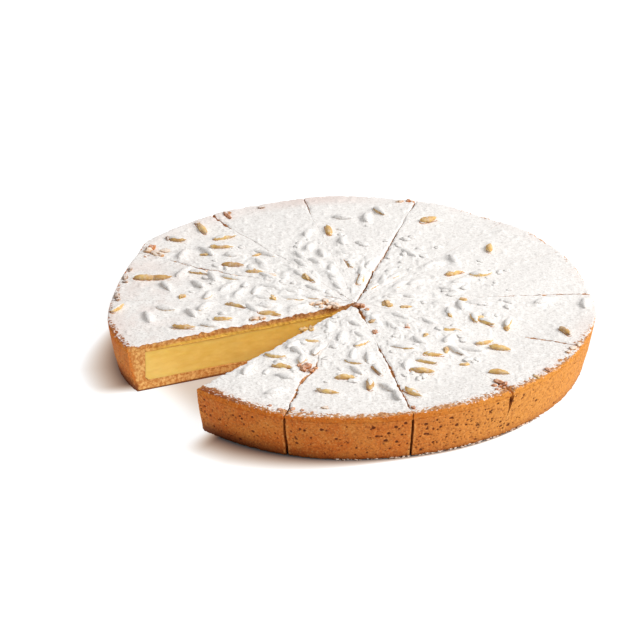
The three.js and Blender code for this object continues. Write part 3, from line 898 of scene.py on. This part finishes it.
def pores(portion):
    """Small holes in the wall's crust, each as angle, height, radius and depth."""
    rng = np.random.default_rng(PORE_SEED + portion)
    count = int(rng.integers(95, 120) * PORE_SHARES.get(portion, 0.7))
    angle = rng.uniform(CUTS[portion], CUTS[portion + 1], count)
    height = rng.uniform(2.5, WALL_TOP - 1.0, count)
    size = 0.3 + 0.75 * rng.uniform(0, 1, count) ** 2.2
    small = list(zip(angle, height, size, rng.uniform(0.5, 1.0, count)))
    first, last = CUT_MARKS[portion], CUT_MARKS[portion + 1]
    return small + [(cut_direction(at), high, radius, 1)
                    for at, high, radius in LARGE_PORES if first < at < last]


def wall_pits(portion, middle, arc, z):
    """How deep the wall is pitted by its pores, between 0 and 1."""
    pit = np.zeros_like(z)
    fray = 0.25 * noise(arc, z, size=0.9, seed=91)
    for angle, height, size, depth in pores(portion):
        gap = np.hypot((middle - angle) * TART_RADIUS, (z - height) * 1.25) / size + fray
        pit = np.maximum(pit, depth * np.exp(-np.abs(gap) ** 2.6))
    return pit


def shell_rows(middle, side_rows):
    """The shell's rows, out along its foot with its uneven lip, up its wall and back inside."""
    inner = side_radius(middle, WALL_TOP) - WALL_THICKNESS
    foot = side_radius(middle, 0)
    lip = 0.5 + 0.5 * noise(np.degrees(middle) * 0.9, 0, seed=81)
    lip = lip * 0.5 + 0.25 * noise(np.degrees(middle) * 3.7, 0, seed=82)
    rows = [(foot - 6, 0.0), (foot - FOOT_ROUND, 0.0), (foot - 0.9 + lip, 0.05),
            (foot - 0.5 + lip, 0.5), (foot - 0.2 + 0.4 * lip, 1.1)]
    side = slice(len(rows), len(rows) + side_rows + 1)
    for step in range(side_rows + 1):
        height = lerp(1.8, WALL_TOP, step / side_rows)
        rows.append((side_radius(middle, height), height))
    rows += [(inner, WALL_TOP), (inner, BASE_THICKNESS + FILLET), (inner - FILLET, BASE_THICKNESS)]
    return *outer_rows(middle, rows), side


def shell_piece(portion, material):
    """Base and wall of one portion, with the crust's pores and the crumb at its cut faces."""
    columns, side_rows = (148, 60) if portion < FRONT_PORTIONS else (84, 36)
    shares, middle = columns_across(portion, columns, 0.15)
    distance, z, side = shell_rows(middle, side_rows)
    high = z[side]
    arc = middle * TART_RADIUS + 0 * high
    pit = wall_pits(portion, middle, arc, high)
    dent = -0.25 + 0.2 * layered(arc, high, size=6, seed=84)
    dent = dent + 0.13 * layered(arc, high, size=1.4, seed=88, octaves=2)
    dent = dent - 0.8 * pit - 0.2 * smooth(WALL_TOP - 0.5, WALL_TOP, high)
    distance[side] = distance[side] + dent
    x, y, lead, trail = spread(portion, shares, distance, z, shell_half)
    tips = (0.0, BASE_THICKNESS)
    points, faces, _ = closed_piece(portion, distance, x, y, z, shell_half, tips, SHELL_PITCH)
    gap = np.minimum(np.abs(lead[side]), np.abs(trail[side]))
    # Along the cut edges the crust is made lighter in patches: partly crumbled, worn edges and partly
    # painted highlight.
    broken = smooth(-0.2, 0.4, noise(arc / 1.2, high / 1.7, seed=95))
    worn = broken * np.exp(-((gap - 0.7) / 0.45) ** 2)
    if portion not in OPEN_PORTIONS:
        # Painted shade: a closed cut is drawn as a darker line, where the slit itself is shut.
        pit = np.maximum(pit, 0.45 * (gap < 0.02))  # a closed cut shows as a darker line
    depth = under_side(*points.T) + 0.4 * noise(*points.T, size=2, seed=93)
    return make_object(f"shell_crust_{portion + 1:02d}", points, faces, material, {
        "pore": on_rows(len(points), side.start, pit),
        "crust": np.maximum(smooth(2.2, 0.9, depth), smooth(1.3, 0.4, points[:, 2])),
        "worn": on_rows(len(points), side.start, worn)}, sharp=60)


def custard_piece(portion, material):
    """Custard of one portion beside the notch. It nearly fills the gaps to the pastry."""
    shares, middle = columns_across(portion, 24, 0)
    side = side_radius(middle, WALL_TOP) - WALL_THICKNESS - 0.1
    low, high = CUSTARD_BOTTOM - CUSTARD_SPREAD, CUSTARD_TOP + CUSTARD_SPREAD
    rows = [(side - FILLET, low)]
    rows += [(side, lerp(CUSTARD_BOTTOM + FILLET, high, share)) for share in np.linspace(0, 1, 8)]
    wall, wall_z = outer_rows(middle, rows)
    steps = np.linspace(1, 0, 60)[1:-1]
    bottom, bottom_z = inner_rows(wall[0], low, steps[::-1])
    top, top_z = inner_rows(wall[-1], high, steps)
    distance = np.concatenate([bottom, wall, top])
    z = np.concatenate([bottom_z, wall_z, top_z])
    x, y, _, _ = spread(portion, shares, distance, z, custard_half)
    points, faces, _ = closed_piece(
        portion, distance, x, y, z, custard_half, (low, high), CUSTARD_PITCH)
    return make_object(f"custard_cut_{portion + 1:02d}", points, faces, material, {}, sharp=60)


# ---------------- materials

def add(tree, kind, inputs=None, **settings):
    """A new node with some settings and inputs."""
    node = tree.nodes.new(kind)
    for key, value in settings.items():
        setattr(node, key, value)
    give(tree, node, inputs or {})
    return node


def give(tree, node, inputs):
    """Give a node's inputs their values, or link them to the wires they come from."""
    for key, value in inputs.items():
        value = getattr(value, "socket", value)
        if isinstance(value, bpy.types.NodeSocket):
            tree.links.new(value, node.inputs[key])
        else:
            node.inputs[key].default_value = value


class Wire:
    """A value or colour in a tree of nodes. Sums with it add the nodes that work them out."""

    def __init__(self, tree, socket):
        self.tree, self.socket = tree, socket

    def via(self, kind, inputs, output=0, **settings):
        return Wire(self.tree, add(self.tree, kind, inputs, **settings).outputs[output])

    def maths(self, operation, other=0.0):
        return self.via("ShaderNodeMath", {0: self, 1: other}, operation=operation)

    __add__ = partialmethod(maths, "ADD")
    __sub__ = partialmethod(maths, "SUBTRACT")
    __mul__ = partialmethod(maths, "MULTIPLY")
    __truediv__ = partialmethod(maths, "DIVIDE")
    at_least = partialmethod(maths, "MAXIMUM")
    at_most = partialmethod(maths, "MINIMUM")

    def __rsub__(self, other):
        return self.via("ShaderNodeMath", {0: other, 1: self}, operation="SUBTRACT")

    def ramp(self, low, high, out_low=0.0, out_high=1.0):
        """A smooth step between two values."""
        return self.via("ShaderNodeMapRange", {
            "Value": self, "From Min": low, "From Max": high, "To Min": out_low,
            "To Max": out_high}, interpolation_type="SMOOTHSTEP")

    def mix(self, first, second):
        """A colour between two, by this value."""
        return self.via("ShaderNodeMix", {0: self, 6: first, 7: second}, 2, data_type="RGBA")


class Look:
    """A material with the places that its wires start from."""

    def __init__(self, name):
        self.material = bpy.data.materials.new(name)
        self.material.use_nodes = True
        self.tree = self.material.node_tree
        self.place = add(self.tree, "ShaderNodeTexCoord").outputs["Object"]
        geometry = add(self.tree, "ShaderNodeNewGeometry").outputs
        self.x, self.y, self.z = self.parts(geometry["Position"])
        self.facing = self.parts(geometry["Normal"])[2]  # 1 where a surface faces straight up

    def parts(self, vector):
        node = add(self.tree, "ShaderNodeSeparateXYZ", {0: vector})
        return [Wire(self.tree, output) for output in node.outputs]

    def noise(self, size_mm, detail=3, rough=0.55, stretch=(1, 1, 1), offset=(0, 0, 0)):
        """Noise with features about size_mm across."""
        mapping = add(self.tree, "ShaderNodeMapping", {
            "Vector": self.place, "Scale": stretch, "Location": offset})
        node = add(self.tree, "ShaderNodeTexNoise", {
            "Vector": mapping.outputs[0], "Scale": 1000 / size_mm, "Detail": detail,
            "Roughness": rough})
        return Wire(self.tree, node.outputs[0])

    def attribute(self, name):
        node = add(self.tree, "ShaderNodeAttribute", attribute_name=name)
        return Wire(self.tree, node.outputs["Fac"])

    def finish(self, surface, rough, shine, relief, strength, relief_mm, **others):
        """The material, with a colour, roughness and shine, and bumps from a wire."""
        bump = add(self.tree, "ShaderNodeBump", {
            "Height": relief, "Strength": strength, "Distance": relief_mm * MM})
        give(self.tree, self.tree.nodes["Principled BSDF"], {
            "Base Color": surface, "Roughness": rough, "Specular IOR Level": shine,
            "Normal": bump.outputs[0]} | others)
        return self.material


def colour(red, green, blue):
    """Linear colour from the usual 0 to 255 values."""
    def channel(value):
        value /= 255
        return value / 12.92 if value <= 0.04045 else ((value + 0.055) / 1.055) ** 2.4
    return (channel(red), channel(green), channel(blue), 1)


SUGAR_WHITE = colour(246, 244, 242)
SUGAR_SHADE_GREY = colour(206, 200, 196)
SUGAR_SHADE_SPECK = colour(160, 150, 143)
SUGAR_PINK = colour(228, 206, 198)
CUSTARD_YELLOW = colour(233, 188, 86)
CUSTARD_PALE = colour(241, 200, 104)
CRUST_BROWN = colour(204, 108, 35)
CRUST_GOLD = colour(220, 147, 66)
CRUST_DARK = colour(134, 60, 22)
CRUST_LIGHT = colour(234, 168, 92)
LID_BROWN = colour(220, 166, 114)
LID_DARK = colour(164, 108, 70)
CRUMB_CREAM = colour(238, 186, 112)
CRUMB_GOLD = colour(196, 124, 60)
# painted shade colour for the foot of the wall on the side away from the light
PAINTED_FOOT_SHADE = colour(86, 38, 14)
PORE_SHADE = colour(88, 36, 16)
NUT_PALE = colour(241, 205, 130)
NUT_GOLD = colour(214, 167, 100)
NUT_TOASTED = colour(160, 110, 64)


def sugar_colour(look):
    """White, mottled with fine grey that is painted shade of its grains, more so towards -X, away from
    the light, and where it lies thin.
    """
    fine = look.noise(1.3, 4, 0.7).ramp(0.42, 0.7, 0, 0.62)
    soft = look.noise(6).ramp(0.4, 0.75, 0, 0.2)
    # Painted shade: the grey mottling is stronger towards -X, the side away from the key light.
    more = look.x.ramp(-0.11, 0.0, 1.25, 1.1) + look.attribute("thin") * 0.5
    grey = (fine.at_least(soft) * more).at_most(1.0).mix(SUGAR_WHITE, SUGAR_SHADE_GREY)
    where = look.x.ramp(-0.13, -0.07, 0.35, 0).at_least(look.attribute("margin") * 1.1)
    pink = look.noise(14, offset=(8, 1, 4)).ramp(0.4, 0.7) * where.at_most(0.6)
    grey = pink.at_least(look.attribute("blush")).mix(grey, SUGAR_PINK)
    # Painted shade: small darker grey specks stand for the shadows of single grains.
    specks = look.noise(0.9, 2).ramp(0.66, 0.76, 0, 0.4) * more
    return specks.mix(grey, SUGAR_SHADE_SPECK)


def crust_colour(look):
    """Browned pastry: pebbly, with painted light that makes it lighter and yellower towards +X, and
    painted shade that darkens the foot.
    """
    # Painted light: the side towards the key light, +X, gets the lighter crust colour.
    painted_light_side = look.x.ramp(0.0, 0.105)
    blotch = look.noise(12).ramp(0.35, 0.68, 0, 0.45)
    base = painted_light_side.at_least(blotch).mix(CRUST_BROWN, CRUST_GOLD)
    base = look.noise(1.5, 4, 0.65).ramp(0.46, 0.68, 0, 0.62).mix(base, CRUST_DARK)
    light = look.noise(1.2, 3, 0.6, offset=(5, 2, 7)).ramp(0.5, 0.7, 0, 0.5)
    base = light.mix(base, CRUST_LIGHT)
    # Painted shade: the lowest 7 mm of the wall is darkened, and the foot towards -X, away from the
    # light, is turned dark brown.
    base = look.z.ramp(0.0, 0.007, 0.4, 0).mix(base, CRUST_DARK)
    foot = look.z.ramp(0.0, 0.012, 1, 0) * look.x.ramp(-0.08, 0.01, 0.85, 0)
    return foot.mix(base, PAINTED_FOOT_SHADE)


def crumb_colour(look):
    return look.noise(1.9, 4, 0.6).ramp(0.38, 0.66).mix(CRUMB_GOLD, CRUMB_CREAM)


def sugared_lid_material():
    look = Look("sugared_lid")
    margin = look.attribute("margin")
    baked = look.noise(1.4, 4).ramp(0.38, 0.66).mix(LID_DARK, LID_BROWN)
    baked = (margin * look.x.ramp(-0.085, -0.03, 0.9, 0)).mix(baked, CRUST_DARK)
    pastry = look.attribute("baked").mix(crumb_colour(look), baked)
    pastry = look.attribute("soaked").mix(pastry, CUSTARD_YELLOW)
    pastry = look.attribute("crust").mix(pastry, crust_colour(look))
    patchy = (look.noise(1.2, 4, 0.65) - 0.5) * 1.2
    specks = look.noise(1.7, 3, 0.6, offset=(3, 9, 1)).ramp(0.46, 0.56) * margin * 1.1
    grains = look.noise(1.5, 3, 0.65, offset=(7, 2, 5)).ramp(0.54, 0.64) * margin * 0.55
    amount = (look.attribute("sugar") + patchy - specks).at_least(grains)
    amount = amount * look.facing.ramp(-0.15, 0.3)
    surface = amount.ramp(0.25, 0.65).mix(pastry, sugar_colour(look))
    return look.finish(surface, rough=0.95, shine=0.1, relief=look.noise(1.1, 4, 0.7),
                       strength=0.6, relief_mm=0.4)


def pastry_material():
    look = Look("browned_pastry")
    surface = look.attribute("crust").mix(crumb_colour(look), crust_colour(look))
    # The worn mask lightens the crust: partly wear of the cut edges and partly painted highlight.
    surface = (look.attribute("worn") * 0.6).mix(surface, CRUST_LIGHT)
    # Painted shade: the pits of the pores and the closed cuts are darkened.
    surface = look.attribute("pore").ramp(0.2, 0.65, 0, 0.85).mix(surface, PORE_SHADE)
    return look.finish(surface, rough=0.75, shine=0.2, relief=look.noise(1.3, 4, 0.65),
                       strength=0.7, relief_mm=0.5)


def custard_material():
    look = Look("custard")
    layers = look.noise(9, stretch=(1, 1, 3)).ramp(0.3, 0.7)
    body = layers.mix(CUSTARD_YELLOW, CUSTARD_PALE)
    glow = {"Subsurface Weight": 0.25, "Subsurface Radius": (0.006, 0.004, 0.0015),
            "Subsurface Scale": 1.0}
    return look.finish(body, rough=0.42, shine=0.5, relief=look.noise(1.5),
                       strength=0.12, relief_mm=0.2, **glow)


def nut_material():
    look = Look("pine_nut")
    gold = look.noise(4).ramp(0.35, 0.65).mix(NUT_PALE, NUT_GOLD)
    gold = (look.attribute("toast") * 0.65).mix(gold, NUT_TOASTED)
    patchy = (look.noise(1.1, 4, 0.65) - 0.5) * 1.2
    white = (look.attribute("sugar") + patchy).ramp(0.3, 0.6)
    dust = white.at_least(look.noise(2.2).ramp(0.42, 0.75, 0, 0.42))
    surface = dust.mix(gold, sugar_colour(look))
    return look.finish(surface, rough=0.65, shine=0.25, relief=look.noise(0.9, 4, 0.7) * white,
                       strength=0.6, relief_mm=0.35)


def crumb_material(name, first, second, dusting=0.0):
    """Crumbs of one kind, each between two colours, with sugar on top."""
    look = Look(name)
    crumb = look.noise(1.8).ramp(0.38, 0.62).mix(first, second)
    patchy = (look.noise(1.6, 3, 0.6) - 0.5) * 0.8
    dust = (look.facing + patchy).ramp(0.45, 0.95, 0, dusting)
    surface = dust.mix(crumb, sugar_colour(look))
    return look.finish(surface, rough=0.85, shine=0.15, relief=look.noise(0.9),
                       strength=0.5, relief_mm=0.3)


def sugar_lump_material():
    look = Look("sugar_lump")
    return look.finish(sugar_colour(look), rough=0.95, shine=0.1, relief=look.noise(1.1, 4, 0.7),
                       strength=0.6, relief_mm=0.4)


FLOOR_GREY = (0.25, 0.25, 0.25, 1)
FLOOR_GLOW = 0.9
CONTACT_REACH = (2.6, 23)  # the usual reach of the shade at the foot, and how much more at most
CONTACT_TURN = math.radians(217)
CONTACT_LOBE = (1.77, 0.59)
CONTACT_POWERS = (1.0, 1.35, 1.65)  # how steeply the shade falls in red, green and blue
NOTCH_TURNS = (-2.8, -2.7, -2.26, -2.16)  # no shade at the foot between these, in radians


def foot_gap(turn, out):
    """Distance outwards from the tart's uneven foot, in metres."""
    foot = FOOT_RADIUS
    for count, size, phase in RIM_WAVES:
        foot = (turn * count + phase).maths("SINE") * size + foot
    return out - foot * MM


def floor_material():
    """A bright glowing floor with painted shadow: brown close to the tart's foot on the side away from
    the light, and dimmer inside the notch.
    """
    look = Look("white_floor")
    x, y = look.x, look.y
    turn = y.maths("ARCTAN2", x)
    out = (x * x + y * y).maths("SQRT")
    gap = foot_gap(turn, out)
    towards = (x * math.cos(CONTACT_TURN) + y * math.sin(CONTACT_TURN)) / out
    share = (towards * CONTACT_LOBE[0] - CONTACT_LOBE[1]).at_least(0.0).at_most(1.0)
    usual = towards.ramp(-0.45, 0.4, 0.3 * MM, CONTACT_REACH[0] * MM)
    reach = share * share * (CONTACT_REACH[1] * MM) + usual
    lit = (gap + towards.ramp(-0.5, 0.0, 2.6 * MM, 0)).at_least(0.0) / reach
    a, b, c, d = NOTCH_TURNS
    notch = turn.ramp(a, b) * turn.ramp(c, d, 1, 0)
    # Painted shadow: the floor under the notch glows less.
    notch_painted_shade = gap.ramp(-0.03, -0.002, 0.5, 1)
    lit = (notch * notch_painted_shade + lit * (1.0 - notch)).at_most(1.0)
    # Painted shadow: the glow's colour darkens and turns brown where lit is low.
    painted_shade_colour = add(look.tree, "ShaderNodeCombineColor", {
        channel: lit.maths("POWER", power) for channel, power in enumerate(CONTACT_POWERS)})
    give(look.tree, look.tree.nodes["Principled BSDF"], {
        "Base Color": FLOOR_GREY, "Roughness": 0.9, "Specular IOR Level": 0.0,
        "Emission Color": painted_shade_colour.outputs[0], "Emission Strength": FLOOR_GLOW})
    return look.material


# ---------------- the pieces

LUMP_SEED = 31
LUMP_TRIES = 240
LUMP_REACH = 0.72  # in tart radii
LUMP_SIZE = (2.2, 4.6)
CRUMB_SEED = 50
CRUMB_WIDEN, CRUMB_RAISE = 1.4, 1.3  # lumps come out smaller than the sizes they are given
FLECKS = 200
FLECK_SEED = 300
FLECK_SPAN = (266, 322)  # in degrees
FLECK_SIZE = (0.45, 1.5)
# The flecks' second, dark grey-brown colour is partly dark bits at the foot and partly painted shade
# under the wall's overhang.
FLECK_COLOURS = (colour(236, 222, 208), colour(140, 104, 80))
# Crumbs of each kind: two colours and how much sugar is on them, slot, and for each crumb its
# x and y in tart radii, its length, width and height, and its heading in degrees.
CRUMBS = {
    "toasted_crumbs": ((colour(172, 102, 60), colour(218, 152, 100), 0.25), "browned_pastry", [
        (0.022, -0.045, 3.6, 2.6, 1.8, 10), (0.04, -0.055, 2.6, 2.2, 1.8, 100),
        (0.06, -0.085, 2.4, 1.8, 1.4, 60), (0.092, -0.28, 3.4, 2, 1.6, 110),
        (0.223, -0.236, 2, 1.6, 1.2, 0), (-0.185, -0.575, 4.4, 3.4, 2.4, 40),
        (-0.2, -0.6, 3.4, 2.4, 1.8, 120), (-0.165, -0.61, 2.4, 1.8, 1.6, 60),
        (-0.15, -0.585, 2, 1.6, 1.2, 20), (-0.215, -0.565, 2.2, 1.6, 1.2, 80),
        (0.586, -0.699, 3.8, 2, 1.6, 150), (0.61, -0.715, 2.4, 1.8, 1.4, 60),
        (0.565, -0.734, 2.2, 1.4, 1.4, 10), (0.575, -0.765, 2.2, 1.6, 1.2, 70),
        (0.605, -0.75, 1.8, 1.4, 1, 110), (0.59, -0.735, 2, 1.2, 1, 30),
        (0.786, -0.585, 2.6, 1.6, 1.2, 140), (-0.29, -0.93, 2, 1.4, 1, 0),
        (-0.24, -0.925, 2.4, 1.6, 1.2, 60), (-0.33, -0.905, 1.8, 1.4, 1, 20),
        (-0.2, -0.935, 1.8, 1.4, 1, 90), (0.24, -0.915, 2.4, 1.6, 1.2, 110),
        (-0.535, 0.8, 5.4, 1.8, 1.8, 122), (-0.845, 0.475, 3.6, 2.6, 3, 60),
        (0.245, 0.955, 2.4, 1.6, 1.4, 60),
    ]),
    "pink_crumbs": ((colour(206, 152, 104), colour(242, 214, 182), 0.6), "browned_pastry", [
        (-0.142, -0.03, 4, 2.6, 2.2, 30), (-0.113, -0.013, 3.4, 2.6, 2.2, 90),
        (-0.088, -0.035, 4, 2.6, 2, 140), (-0.065, -0.055, 3.2, 2.4, 2, 10),
        (-0.17, -0.03, 3, 2.2, 1.6, 70), (-0.13, -0.05, 2.4, 2, 1.6, 120),
        (-0.1, -0.06, 2.6, 2, 1.6, 50), (-0.07, -0.03, 2.2, 1.8, 1.6, 0),
        (-0.4, -0.165, 4, 3, 2, 20), (-0.37, -0.16, 3, 2.4, 1.8, 80),
        (-0.82, 0.43, 5.6, 3, 2, 140), (-0.86, 0.45, 3.6, 2.8, 2.6, 20),
        (-0.79, 0.46, 4, 2.4, 1.2, 10), (0.21, 0.95, 3.4, 1.8, 1.4, 10),
        (-0.34, 0.22, 4.4, 2.4, 1.8, 10), (-0.5, 0.215, 4, 2.4, 1.8, 20),
        (-0.625, 0.255, 3.4, 2.4, 1.8, 0), (0.895, -0.4, 3.6, 2.6, 1.8, 40),
        (0.92, -0.37, 2.6, 2, 1.4, 80), (0.875, -0.43, 2.2, 1.8, 1.2, 20),
        (-0.11, -0.92, 3, 1.8, 1.2, 170), (-0.2, -0.53, 4, 2.2, 1.4, 20),
    ]),
    "rim_crumbs": ((colour(160, 124, 100), colour(206, 182, 164), 0.6), "browned_pastry", [
        (-0.93, 0.285, 2.4, 2, 1.8, 80), (-0.95, 0.205, 3.4, 2.4, 2.4, 60),
        (-0.945, 0.17, 2.4, 1.8, 1.6, 20), (-0.975, 0.035, 3.8, 2.4, 2.8, 100),
        (-0.97, 0, 2.4, 1.8, 1.6, 60), (-0.78, 0.56, 2.6, 2, 2.2, 100),
        (-0.66, 0.71, 2.6, 2, 1.8, 40), (-0.39, 0.885, 3, 1.8, 1.4, 20),
    ]),
    "nut_chips": ((colour(234, 196, 122), colour(198, 148, 84), 0.25), "sugared_lid", [
        (0.139, -0.03, 4.6, 3.2, 2.4, 110), (0.152, -0.045, 2.6, 2, 1.6, 20),
        (0.084, -0.189, 3.8, 2.6, 2, 60), (0.22, -0.05, 4.2, 1.8, 1.2, 10),
        (0.52, -0.144, 3.8, 2.4, 2, 40), (0.38, -0.427, 4.4, 2.2, 2, 95),
        (-0.195, 0.2, 4.8, 2.8, 2.2, 120), (-0.2, -0.26, 4, 2.4, 2, 30),
        (-0.17, -0.25, 3.4, 2.2, 2, 100), (-0.705, 0.036, 3.2, 2.2, 1.6, 60),
        (0.45, -0.54, 3.4, 2, 1.4, 0), (0.633, -0.22, 4, 2.6, 2, 90),
        (0.405, -0.126, 3.6, 2.6, 2, 100), (0.3, -0.3, 3, 2, 1.6, 60),
        (0.46, 0.02, 3, 2, 1.8, 0), (-0.4, 0.42, 4.6, 1.6, 1.2, 30),
        (-0.62, 0.42, 3.4, 1.8, 1.4, 0), (-0.33, 0.01, 4, 2.6, 2.2, 120),
        (0.736, -0.645, 3.4, 1.6, 1.2, 130),
    ]),
}

lid_finish = sugared_lid_material()
pastry_finish = pastry_material()
custard_finish = custard_material()
nut_finish = nut_material()

for portion in range(PORTIONS):
    number = f"{portion + 1:02d}"
    lid = lid_piece(portion, lid_finish)
    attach(lid, "root")
    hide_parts(f"lid_{number}")
    shell = shell_piece(portion, pastry_finish)
    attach(shell, "root")
    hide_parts(f"shell_{number}")
    if portion in OPEN_PORTIONS:
        custard = custard_piece(portion, custard_finish)
        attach(custard, "root")
        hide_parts(f"custard_{number}")
    else:
        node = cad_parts[f"custard_{number}"]
        node.data.materials.clear()
        node.data.materials.append(custard_finish)

made = [nut_body(nut) for nut in NUTS]
nuts = make_object("pine_nuts", *joined([nut[:2] for nut in made]), nut_finish, {
    "sugar": np.concatenate([nut[2] for nut in made]),
    "toast": np.concatenate([nut[3] for nut in made])})
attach(nuts, "root")


def sugar_lump(rng, seed):
    """One knob of sugar, likelier in the middle, or None where a cut or the notch is too near."""
    out = TART_RADIUS * LUMP_REACH * math.sqrt(rng.uniform()) ** 1.25
    turn, size = rng.uniform(0, 2 * math.pi), lerp(*LUMP_SIZE, rng.uniform() ** 1.5)
    x, y, heading = out * math.cos(turn), out * math.sin(turn), rng.uniform(0, math.pi)
    stretch, squash = rng.uniform(1.0, 1.9), rng.uniform(0.3, 0.5)
    if portion_at(x, y) < 0 or distance_to_cuts(x, y) < size * stretch * 0.6 + 0.3:
        return None
    height = float(sugar_top(x, y)) + 0.1 * size
    return lump_body(x, y, height, (size * stretch, size, size * squash), heading, seed)


def crumb(seed, x, y, length, width, height, heading):
    """One crumb or chip that lies on the sugar."""
    x, y = x * TART_RADIUS, y * TART_RADIUS
    high = float(sugar_top(x, y)) + 0.2 * height
    sizes = (CRUMB_WIDEN * length, CRUMB_WIDEN * width, CRUMB_RAISE * height)
    return lump_body(x, y, high, sizes, math.radians(heading), seed, 16, 11, 0.65)


def foot_fleck(rng, seed):
    """One pale fleck that lies along the foot, under the overhang of the wall."""
    turn = math.radians(rng.uniform(*FLECK_SPAN))
    size = lerp(*FLECK_SIZE, rng.uniform() ** 2.5)
    foot = float(side_radius(turn, 0)) - 0.6 + 1.3 * rng.uniform() ** 1.5
    sizes = (size * rng.uniform(1, 2.5), size, size * 0.6)
    x, y = foot * math.cos(turn), foot * math.sin(turn)
    return lump_body(x, y, 0.3 * size, sizes, turn + math.pi / 2, seed, 8, 5)


rng = np.random.default_rng(LUMP_SEED)
bodies = [body for body in (sugar_lump(rng, index) for index in range(LUMP_TRIES)) if body]
lumps = make_object("sugar_lumps", *joined(bodies), sugar_lump_material())
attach(lumps, "root")

for name, (finish, slot, spots) in CRUMBS.items():
    bodies = [crumb(CRUMB_SEED + index, *spot) for index, spot in enumerate(spots)]
    crumbs = make_object(name, *joined(bodies), crumb_material(name, *finish))
    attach(crumbs, "root")

bodies = [foot_fleck(rng, FLECK_SEED + index) for index in range(FLECKS)]
flecks = make_object("foot_flecks", *joined(bodies),
                     crumb_material("foot_flecks", *FLECK_COLOURS))
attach(flecks, "root")

# ---------------- floor, light and camera

FLOOR_SIZE = 12
FLOOR_DROP = 0.0002  # the floor lies this far under the tart
SKY_COLOUR = (1.0, 0.99, 0.978, 1)
SKY_STRENGTH = (0.12, 0.715)  # at the horizon and straight up
KEY_TURN, KEY_HEIGHT, KEY_DISTANCE = math.radians(-10), math.radians(40), 3.0
KEY_SIZE = 1.5
KEY_ENERGY = 84
KEY_COLOUR = (1.0, 0.985, 0.965)
CAMERA_TARGET = Vector((-0.133, 0.2425, 0)) * TART_RADIUS * MM
CAMERA_DISTANCE = 20 * TART_RADIUS * MM
CAMERA_ELEVATION = 0.479
CAMERA_ROLL = -0.008
CAMERA_SENSOR = 36
CAMERA_LENS = 4760.6 * CAMERA_SENSOR / 640


def light_sky():
    """An even sky, brighter overhead."""
    world = bpy.data.worlds.new("studio")
    bpy.context.scene.world = world
    world.use_nodes = True
    sky = world.node_tree
    toward = add(sky, "ShaderNodeTexCoord").outputs["Generated"]
    height = add(sky, "ShaderNodeSeparateXYZ", {0: toward}).outputs[2]
    strength = add(sky, "ShaderNodeMapRange", {
        "Value": height, "From Min": 0.0, "From Max": 1.0, "To Min": SKY_STRENGTH[0],
        "To Max": SKY_STRENGTH[1]})
    give(sky, sky.nodes["Background"], {0: SKY_COLOUR, 1: strength.outputs[0]})


def add_key_light():
    """A large soft light from the right."""
    key = bpy.data.lights.new("key", "AREA")
    key.shape = "DISK"
    key.size = KEY_SIZE
    key.energy = KEY_ENERGY
    key.color = KEY_COLOUR
    key_object = bpy.data.objects.new("key", key)
    level = math.cos(KEY_HEIGHT)
    key_object.location = KEY_DISTANCE * Vector((
        level * math.cos(KEY_TURN), level * math.sin(KEY_TURN), math.sin(KEY_HEIGHT)))
    key_object.rotation_euler = (-key_object.location).to_track_quat("-Z", "Y").to_euler()
    bpy.context.scene.collection.objects.link(key_object)


def place_camera():
    """A far camera with a long lens, a little above the tart and rolled a little."""
    camera = bpy.data.cameras.new("camera")
    camera.lens = CAMERA_LENS
    camera.sensor_width = CAMERA_SENSOR
    camera.clip_end = 50
    camera_object = bpy.data.objects.new("camera", camera)
    back = Vector((0, -math.cos(CAMERA_ELEVATION), math.sin(CAMERA_ELEVATION)))
    up = Vector((0, math.sin(CAMERA_ELEVATION), math.cos(CAMERA_ELEVATION)))
    right = Vector((1, 0, 0))
    c, s = math.cos(CAMERA_ROLL), math.sin(CAMERA_ROLL)
    pose = Matrix((right * c - up * s, right * s + up * c, back)).transposed().to_4x4()
    pose.translation = CAMERA_TARGET + back * CAMERA_DISTANCE
    camera_object.matrix_world = pose
    bpy.context.scene.collection.objects.link(camera_object)
    bpy.context.scene.camera = camera_object


bpy.ops.mesh.primitive_plane_add(size=FLOOR_SIZE, location=(0, 0, -FLOOR_DROP))
floor = bpy.context.object
floor.name = "floor"
floor.data.materials.append(floor_material())

light_sky()
add_key_light()
place_camera()
bpy.context.scene.view_settings.view_transform = "Standard"
bpy.context.scene.view_settings.look = "None"
bpy.context.scene.view_settings.exposure = 0.0
